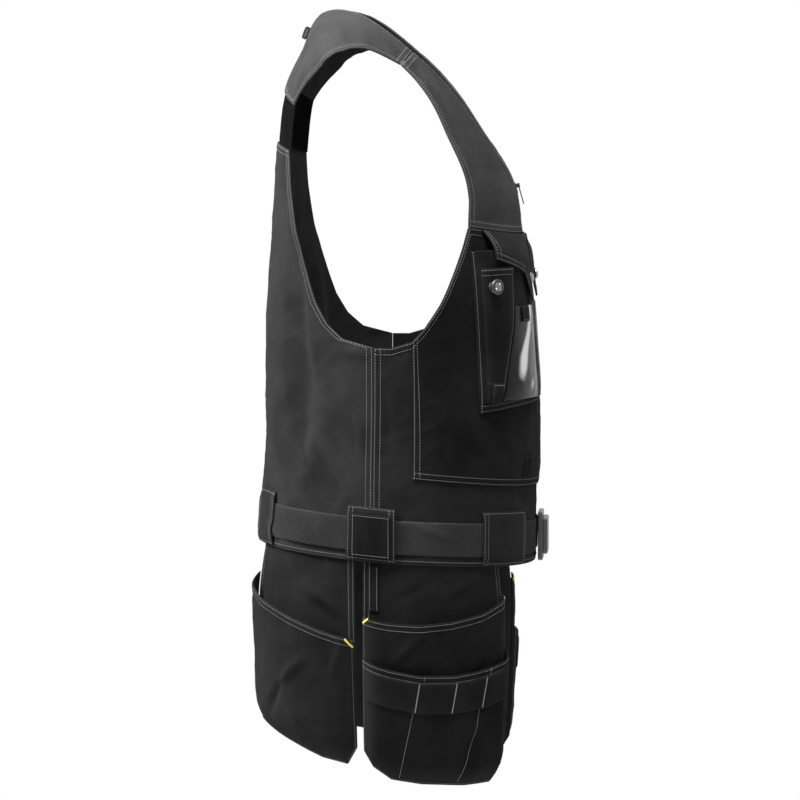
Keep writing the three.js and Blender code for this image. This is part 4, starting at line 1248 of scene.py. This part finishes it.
def pouch_lift(span, bottom, mouth, turn, drop):
    sides = ramp(turn - span[0], 7) * ramp(span[1] - turn, 7)
    low = on_table(bottom, turn)
    opening = on_table(mouth, turn)
    return sides * lerp(1, 0.75, (drop - opening) / (low - opening)) * ramp(low - drop, 0.12)


def rear_lift(turn, drop):
    return LAYER + HOLSTER_DEPTH * pouch_lift(REAR, REAR_BOTTOM, REAR_MOUTH, turn, drop)


def upper_lift(turn, drop):
    return LAYER + HOLSTER_DEPTH * pouch_lift(FORE, FORE_BOTTOM, UPPER_MOUTH, turn, drop)


def lower_lift(turn, drop):
    lower = HOLSTER_DEPTH * 0.45 * pouch_lift(FORE, FORE_BOTTOM, LOWER_MOUTH, turn, drop)
    return upper_lift(turn, drop) + LAYER + lower


def turns_of(table):
    return [turn for turn, _ in table][::-1]


def holster_back(name, node, side, bottom):
    def place(turn, v):
        return holster_point(side, turn, lerp(TUCK, on_table(bottom, turn), v), 0)

    cloth(name, "twill", turns_of(bottom), np.linspace(0, 1, 7), place, [node], rough=0.8)
    for rim in "az":
        hem_stitches(name, rim, HOLSTER_ROW, 8 * MM)


def holster_wall(name, node, look, side, bottom, mouth, lift, extra):
    def place(turn, v):
        drop = lerp(on_table(mouth, turn), on_table(bottom, turn), v)
        return holster_point(side, turn, drop, lift(turn, drop))

    us = sorted(set(turns_of(bottom)) | set(turns_of(mouth)) | set(extra), reverse=True)
    cloth(name, look, us, np.linspace(0, 1, 6), place, [node], cell=3.4 * MM)
    hem_stitches(name, "s", HOLSTER_ROW, 8.2 * MM)
    hem_stitches(name, "azt", HOLSTER_ROW)


def holsters(suffix, side):
    holster_back(f"rear_back_cloth{suffix}", f"holster_rear_back{suffix}", side, REAR_BOTTOM)
    holster_back(f"fore_back_cloth{suffix}", f"holster_front_back{suffix}", side, FORE_BOTTOM)
    rear = f"rear_pocket_cloth{suffix}"
    upper = f"fore_upper_cloth{suffix}"
    lower = f"fore_lower_cloth{suffix}"
    for name, node, look, bottom, mouth, lift, extra in (
        (rear, "holster_rear_pocket", "twill", REAR_BOTTOM, REAR_MOUTH, rear_lift, REAR_EXTRA),
        (upper, "holster_front_upper", "heavy_twill", FORE_BOTTOM, UPPER_MOUTH, upper_lift, FORE_EXTRA),
        (lower, "holster_front_lower", "heavy_twill", FORE_BOTTOM, LOWER_MOUTH, lower_lift, FORE_EXTRA),
    ):
        holster_wall(name, node + suffix, look, side, bottom, mouth, lift, extra)
    for top, middle, bottom in SLOT_LINES:
        for turns, shares in (((top, top + 0.6), (0, 0.06)), ((middle, bottom), (0.27, 0.97))):
            stitch(lower, line_path(lower, turns, shares), pitch=2.8 * MM, length=2.3 * MM)

    def strip_place(turn, v):
        drop = on_table(LOWER_MOUTH, turn) + STRIP_DROP + v * STRIP_WIDTH / HOLSTER_DROP
        return holster_point(side, turn, drop, lower_lift(turn, drop) + LAYER)

    strip = f"tool_strip_cloth{suffix}"
    cloth(strip, "webbing_dark", np.linspace(*STRIP_TURNS, 9), np.linspace(0, 1, 3), strip_place,
          [f"holster_strip{suffix}"], hems="", rough=0.3, cell=2.6 * MM)
    for top, bottom in STRIP_TACKS:
        bartack(strip, (top, 0.02), (bottom, 0.98), "thread-tack", 0.7 * MM)
    strap_turns = turn_for(STRAP_WIDTH, STRAP_TURN, float(hem_level(STRAP_TURN)))

    def strap_place(turn, v):
        return holster_point(side, turn, lerp(*STRAP_DROPS, v), LAYER - LAYER_GAP / 2)

    strap = f"holster_strap_cloth{suffix}"
    cloth(strap, "tape", [STRAP_TURN, STRAP_TURN - strap_turns], [0, 0.5, 1], strap_place,
          [f"holster_strap{suffix}"], hems="", rough=0.3, cell=2 * MM)
    hem_stitches(strap, "az", 2 * MM)
    bartack(rear, (106.4, 0.01), (104, 0.075), "bartack", BARTACK)
    bartack(upper, (100.2, 0.045), (98, 0.003), "bartack", BARTACK)
    bartack(upper, (44, 0.003), (42.3, 0.05), "bartack", BARTACK)


# Zip. A tooth's sections: place across the zip and half length along it, in mm. Its corners: share of that
# half length and height above the tape, in mm.
ZIP_TOP_ROW = 7.0
ZIP_STEPS = 1200
TAPE_WIDTH = 15 * MM
TAPE_EDGE = 0.15 * MM
TAPE_LIFT = -LAYER_GAP - KNIT
TOOTH_PITCH = 2.1 * MM
TOOTH_SUNK = 0.3 * MM
TOOTH = ((-2.3, 0.8), (-0.9, 0.8), (-0.4, 0.62), (1.1, 0.86))
TOOTH_CORNERS = ((-1, 0.2), (1, 0.2), (0.8, 2.4), (-0.8, 2.4))


def zip_tapes():
    for suffix, side in SIDES:
        def place(row, v, side=side):
            return row, side * front_angle(lerp(TAPE_EDGE, TAPE_WIDTH, v), row), TAPE_LIFT

        cloth(f"zip_tape_cloth{suffix}", "tape", np.linspace(0.04, ZIP_TOP_ROW, 13), [0, 1], place,
              [f"zip_tape{suffix}"], thick=KNIT, hems="", trim=0.1 * MM, rough=0.0, cell=5 * MM)


def zip_teeth():
    rows = np.linspace(0.06, ZIP_TOP_ROW - 0.06, ZIP_STEPS)
    centre = bare_shell(rows, np.zeros(ZIP_STEPS))
    run = run_of(centre)
    places = np.arange(TOOTH_PITCH, run[-1] - TOOTH_PITCH, TOOTH_PITCH)
    middle = at_run(places, run, centre)
    out = unit(at_run(places, run, shell_normal(rows, np.zeros(ZIP_STEPS))))
    along = unit(np.gradient(middle, axis=0))
    across = np.cross(along, out)
    points, faces = [], []
    for k in range(len(places)):
        hand = 1 if k % 2 else -1
        start = len(points)
        for x, half in TOOTH:
            for y, z in TOOTH_CORNERS:
                aside = across[k] * x * hand * MM + along[k] * half * y * MM
                points.append(middle[k] + aside + out[k] * (TAPE_LIFT + TOOTH_SUNK + z * MM))
        for ring in range(len(TOOTH) - 1):
            for corner in range(4):
                a = start + ring * 4 + corner
                b = start + ring * 4 + (corner + 1) % 4
                quad = (a, b, b + 4, a + 4)
                faces.append(quad if hand > 0 else quad[::-1])
        last = start + 4 * (len(TOOTH) - 1)
        for end in (tuple(start + 3 - n for n in range(4)), tuple(last + n for n in range(4))):
            faces.append(end if hand > 0 else end[::-1])
    make("zip_teeth_row", points, faces, "plastic", ["zip_teeth"])


# Hard pieces shown as they are, with their looks
SOLID_LOOKS = (
    ("flap_stud_r", "metal"),
    ("flap_stud_l", "metal"),
    ("tool_button_r", "metal"),
    ("tool_button_l", "metal"),
    ("zip_slider", "dark_metal"),
    ("zip_pull", "dark_metal"),
    ("buckle_socket", "plastic"),
    ("buckle_plug", "plastic"),
)


def hard_pieces():
    for node, look in SOLID_LOOKS:
        shown = frame["nodes"][node]
        shown.data.materials.clear()
        shown.data.materials.append(LOOKS[look])


# A turned ring: a closed profile of radius and height, at a place with its axis
ROUND_SIDES = 48


def turned(name, profile, centre, axis, look):
    turn = Vector(axis).normalized().to_track_quat("Z", "Y")
    points, faces = [], []
    for radius, height in profile:
        for k in range(ROUND_SIDES):
            a = 2 * math.pi * k / ROUND_SIDES
            local = Vector((radius * math.cos(a), radius * math.sin(a), height))
            points.append(Vector(centre) + turn @ local)
    count = len(profile)
    for ring in range(count):
        following = (ring + 1) % count
        for k in range(ROUND_SIDES):
            beside = (k + 1) % ROUND_SIDES
            near = ring * ROUND_SIDES
            far = following * ROUND_SIDES
            faces.append((near + k, near + beside, far + beside, far + k))
    make(name, points, faces, look)


# Four petals raised in a cross on a button's cap. A petal's rings: size and height in mm.
PETAL_RINGS = ((1.0, 0.0), (0.9, 0.45), (0.55, 0.8), (0.1, 0.95))
PETAL_SIDES = 16


def petals(name, centre, axis, reach):
    turn = Vector(axis).normalized().to_track_quat("Z", "Y")
    points, faces = [], []
    for quarter in range(4):
        spin = Quaternion((0, 0, 1), math.radians(45 + 90 * quarter))
        start = len(points)
        for size, height in PETAL_RINGS:
            for k in range(PETAL_SIDES):
                a = 2 * math.pi * k / PETAL_SIDES
                x = reach * (0.52 + 0.3 * size * math.cos(a))
                y = reach * 0.2 * size * math.sin(a)
                points.append(Vector(centre) + turn @ (spin @ Vector((x, y, height * MM))))
        for ring in range(len(PETAL_RINGS) - 1):
            for k in range(PETAL_SIDES):
                a = start + ring * PETAL_SIDES + k
                b = start + ring * PETAL_SIDES + (k + 1) % PETAL_SIDES
                faces.append((a, b, b + PETAL_SIDES, a + PETAL_SIDES))
        last = start + PETAL_SIDES * (len(PETAL_RINGS) - 1)
        faces.append(tuple(start + PETAL_SIDES - 1 - k for k in range(PETAL_SIDES)))
        faces.append(tuple(last + k for k in range(PETAL_SIDES)))
    make(name, points, faces, "metal")


# Profiles on a tool button's cap: radius as a share of the head's, and height in mm
BUTTON_HEAD = 17 / 2 * MM
PETAL_LIFT = 0.02 * MM
RIM_PROFILE = (
    (0.99, -1.9), (1.04, -1.5), (1.0, -0.5), (0.8, 0.25), (0.62, 0.3), (0.6, 0.02), (0.8, -0.1), (0.9, -1.5),
)
CENTRE_PROFILE = ((0.3, 0.02), (0.28, 0.45), (0.12, 0.6), (0.04, 0.3), (0.04, 0.01))


def button_profile(table):
    return [(BUTTON_HEAD * share, height * MM) for share, height in table]


def fastener_details():
    for suffix, _ in SIDES:
        mount = next(m for m in frame["record"]["mounts"] if m["name"] == f"tool_button{suffix}")
        centre = Vector(mount["pos_m"])
        axis = Vector(mount["axis"])
        turned(f"button_rim{suffix}", button_profile(RIM_PROFILE), centre, axis, "dark_metal")
        petals(f"button_petals{suffix}", centre + axis * PETAL_LIFT, axis, BUTTON_HEAD * 0.85)
        turned(f"button_centre{suffix}", button_profile(CENTRE_PROFILE), centre, axis, "metal")


# Camera, light and floor. A light: name, place, size and power.
CLIP_END = 60
LIGHTS = (
    ("key", (-0.55, 1.05, 0.95), 0.6, 120),
    ("top", (-0.75, -0.1, 1.2), 0.7, 75),
)
FLOOR_SIDES = 96
FLOOR_SHADE = (0.85, 0.85, 0.85, 1)


def studio():
    camera = bpy.data.cameras.new("camera")
    holder = bpy.data.objects.new("camera", camera)
    bpy.context.scene.collection.objects.link(holder)
    forward = Vector((
        math.cos(CAMERA_TURN) * math.cos(CAMERA_RISE),
        math.sin(CAMERA_TURN) * math.cos(CAMERA_RISE),
        -math.sin(CAMERA_RISE),
    ))
    holder.location = TARGET - forward * CAMERA_DISTANCE
    holder.rotation_euler = forward.to_track_quat("-Z", "Y").to_euler()
    camera.sensor_width = SENSOR
    camera.lens = SENSOR * (CAMERA_DISTANCE / PIXEL) / FRAME_PIXELS
    camera.clip_end = CLIP_END
    bpy.context.scene.camera = holder
    world = bpy.data.worlds.new("studio")
    bpy.context.scene.world = world
    world.use_nodes = True
    world.node_tree.nodes["Background"].inputs[0].default_value = (1, 1, 1, 1)
    world.node_tree.nodes["Background"].inputs[1].default_value = 1.0
    bpy.context.scene.view_settings.view_transform = "Standard"
    for name, place, size, power in LIGHTS:
        light = bpy.data.lights.new(name, "AREA")
        light.energy = power
        light.size = size
        lamp = bpy.data.objects.new(name, light)
        lamp.location = place
        lamp.rotation_euler = (TARGET - Vector(place)).to_track_quat("-Z", "Y").to_euler()
        bpy.context.scene.collection.objects.link(lamp)
    turns = [2 * math.pi * k / FLOOR_SIDES for k in range(FLOOR_SIDES)]
    ring = [(FLOOR_RADIUS * math.cos(turn), FLOOR_RADIUS * math.sin(turn), FLOOR_LEVEL) for turn in turns]
    mesh = bpy.data.meshes.new("floor")
    mesh.from_pydata(ring, [], [tuple(range(FLOOR_SIDES))])
    floor = bpy.data.objects.new("floor", mesh)
    bpy.context.scene.collection.objects.link(floor)
    made = bpy.data.materials.new("floor")
    made.use_nodes = True
    shader = made.node_tree.nodes["Principled BSDF"]
    shader.inputs["Base Color"].default_value = FLOOR_SHADE
    shader.inputs["Roughness"].default_value = 0.9
    mesh.materials.append(made)


studio()
back_pieces()
hanger()
for suffix, side in SIDES:
    front_pieces(suffix, side)
    chest_pieces(suffix, side)
    belt_loops(suffix, side)
    holsters(suffix, side)
label()
belt()
zip_tapes()
zip_teeth()
hard_pieces()
fastener_details()
make_stitches()
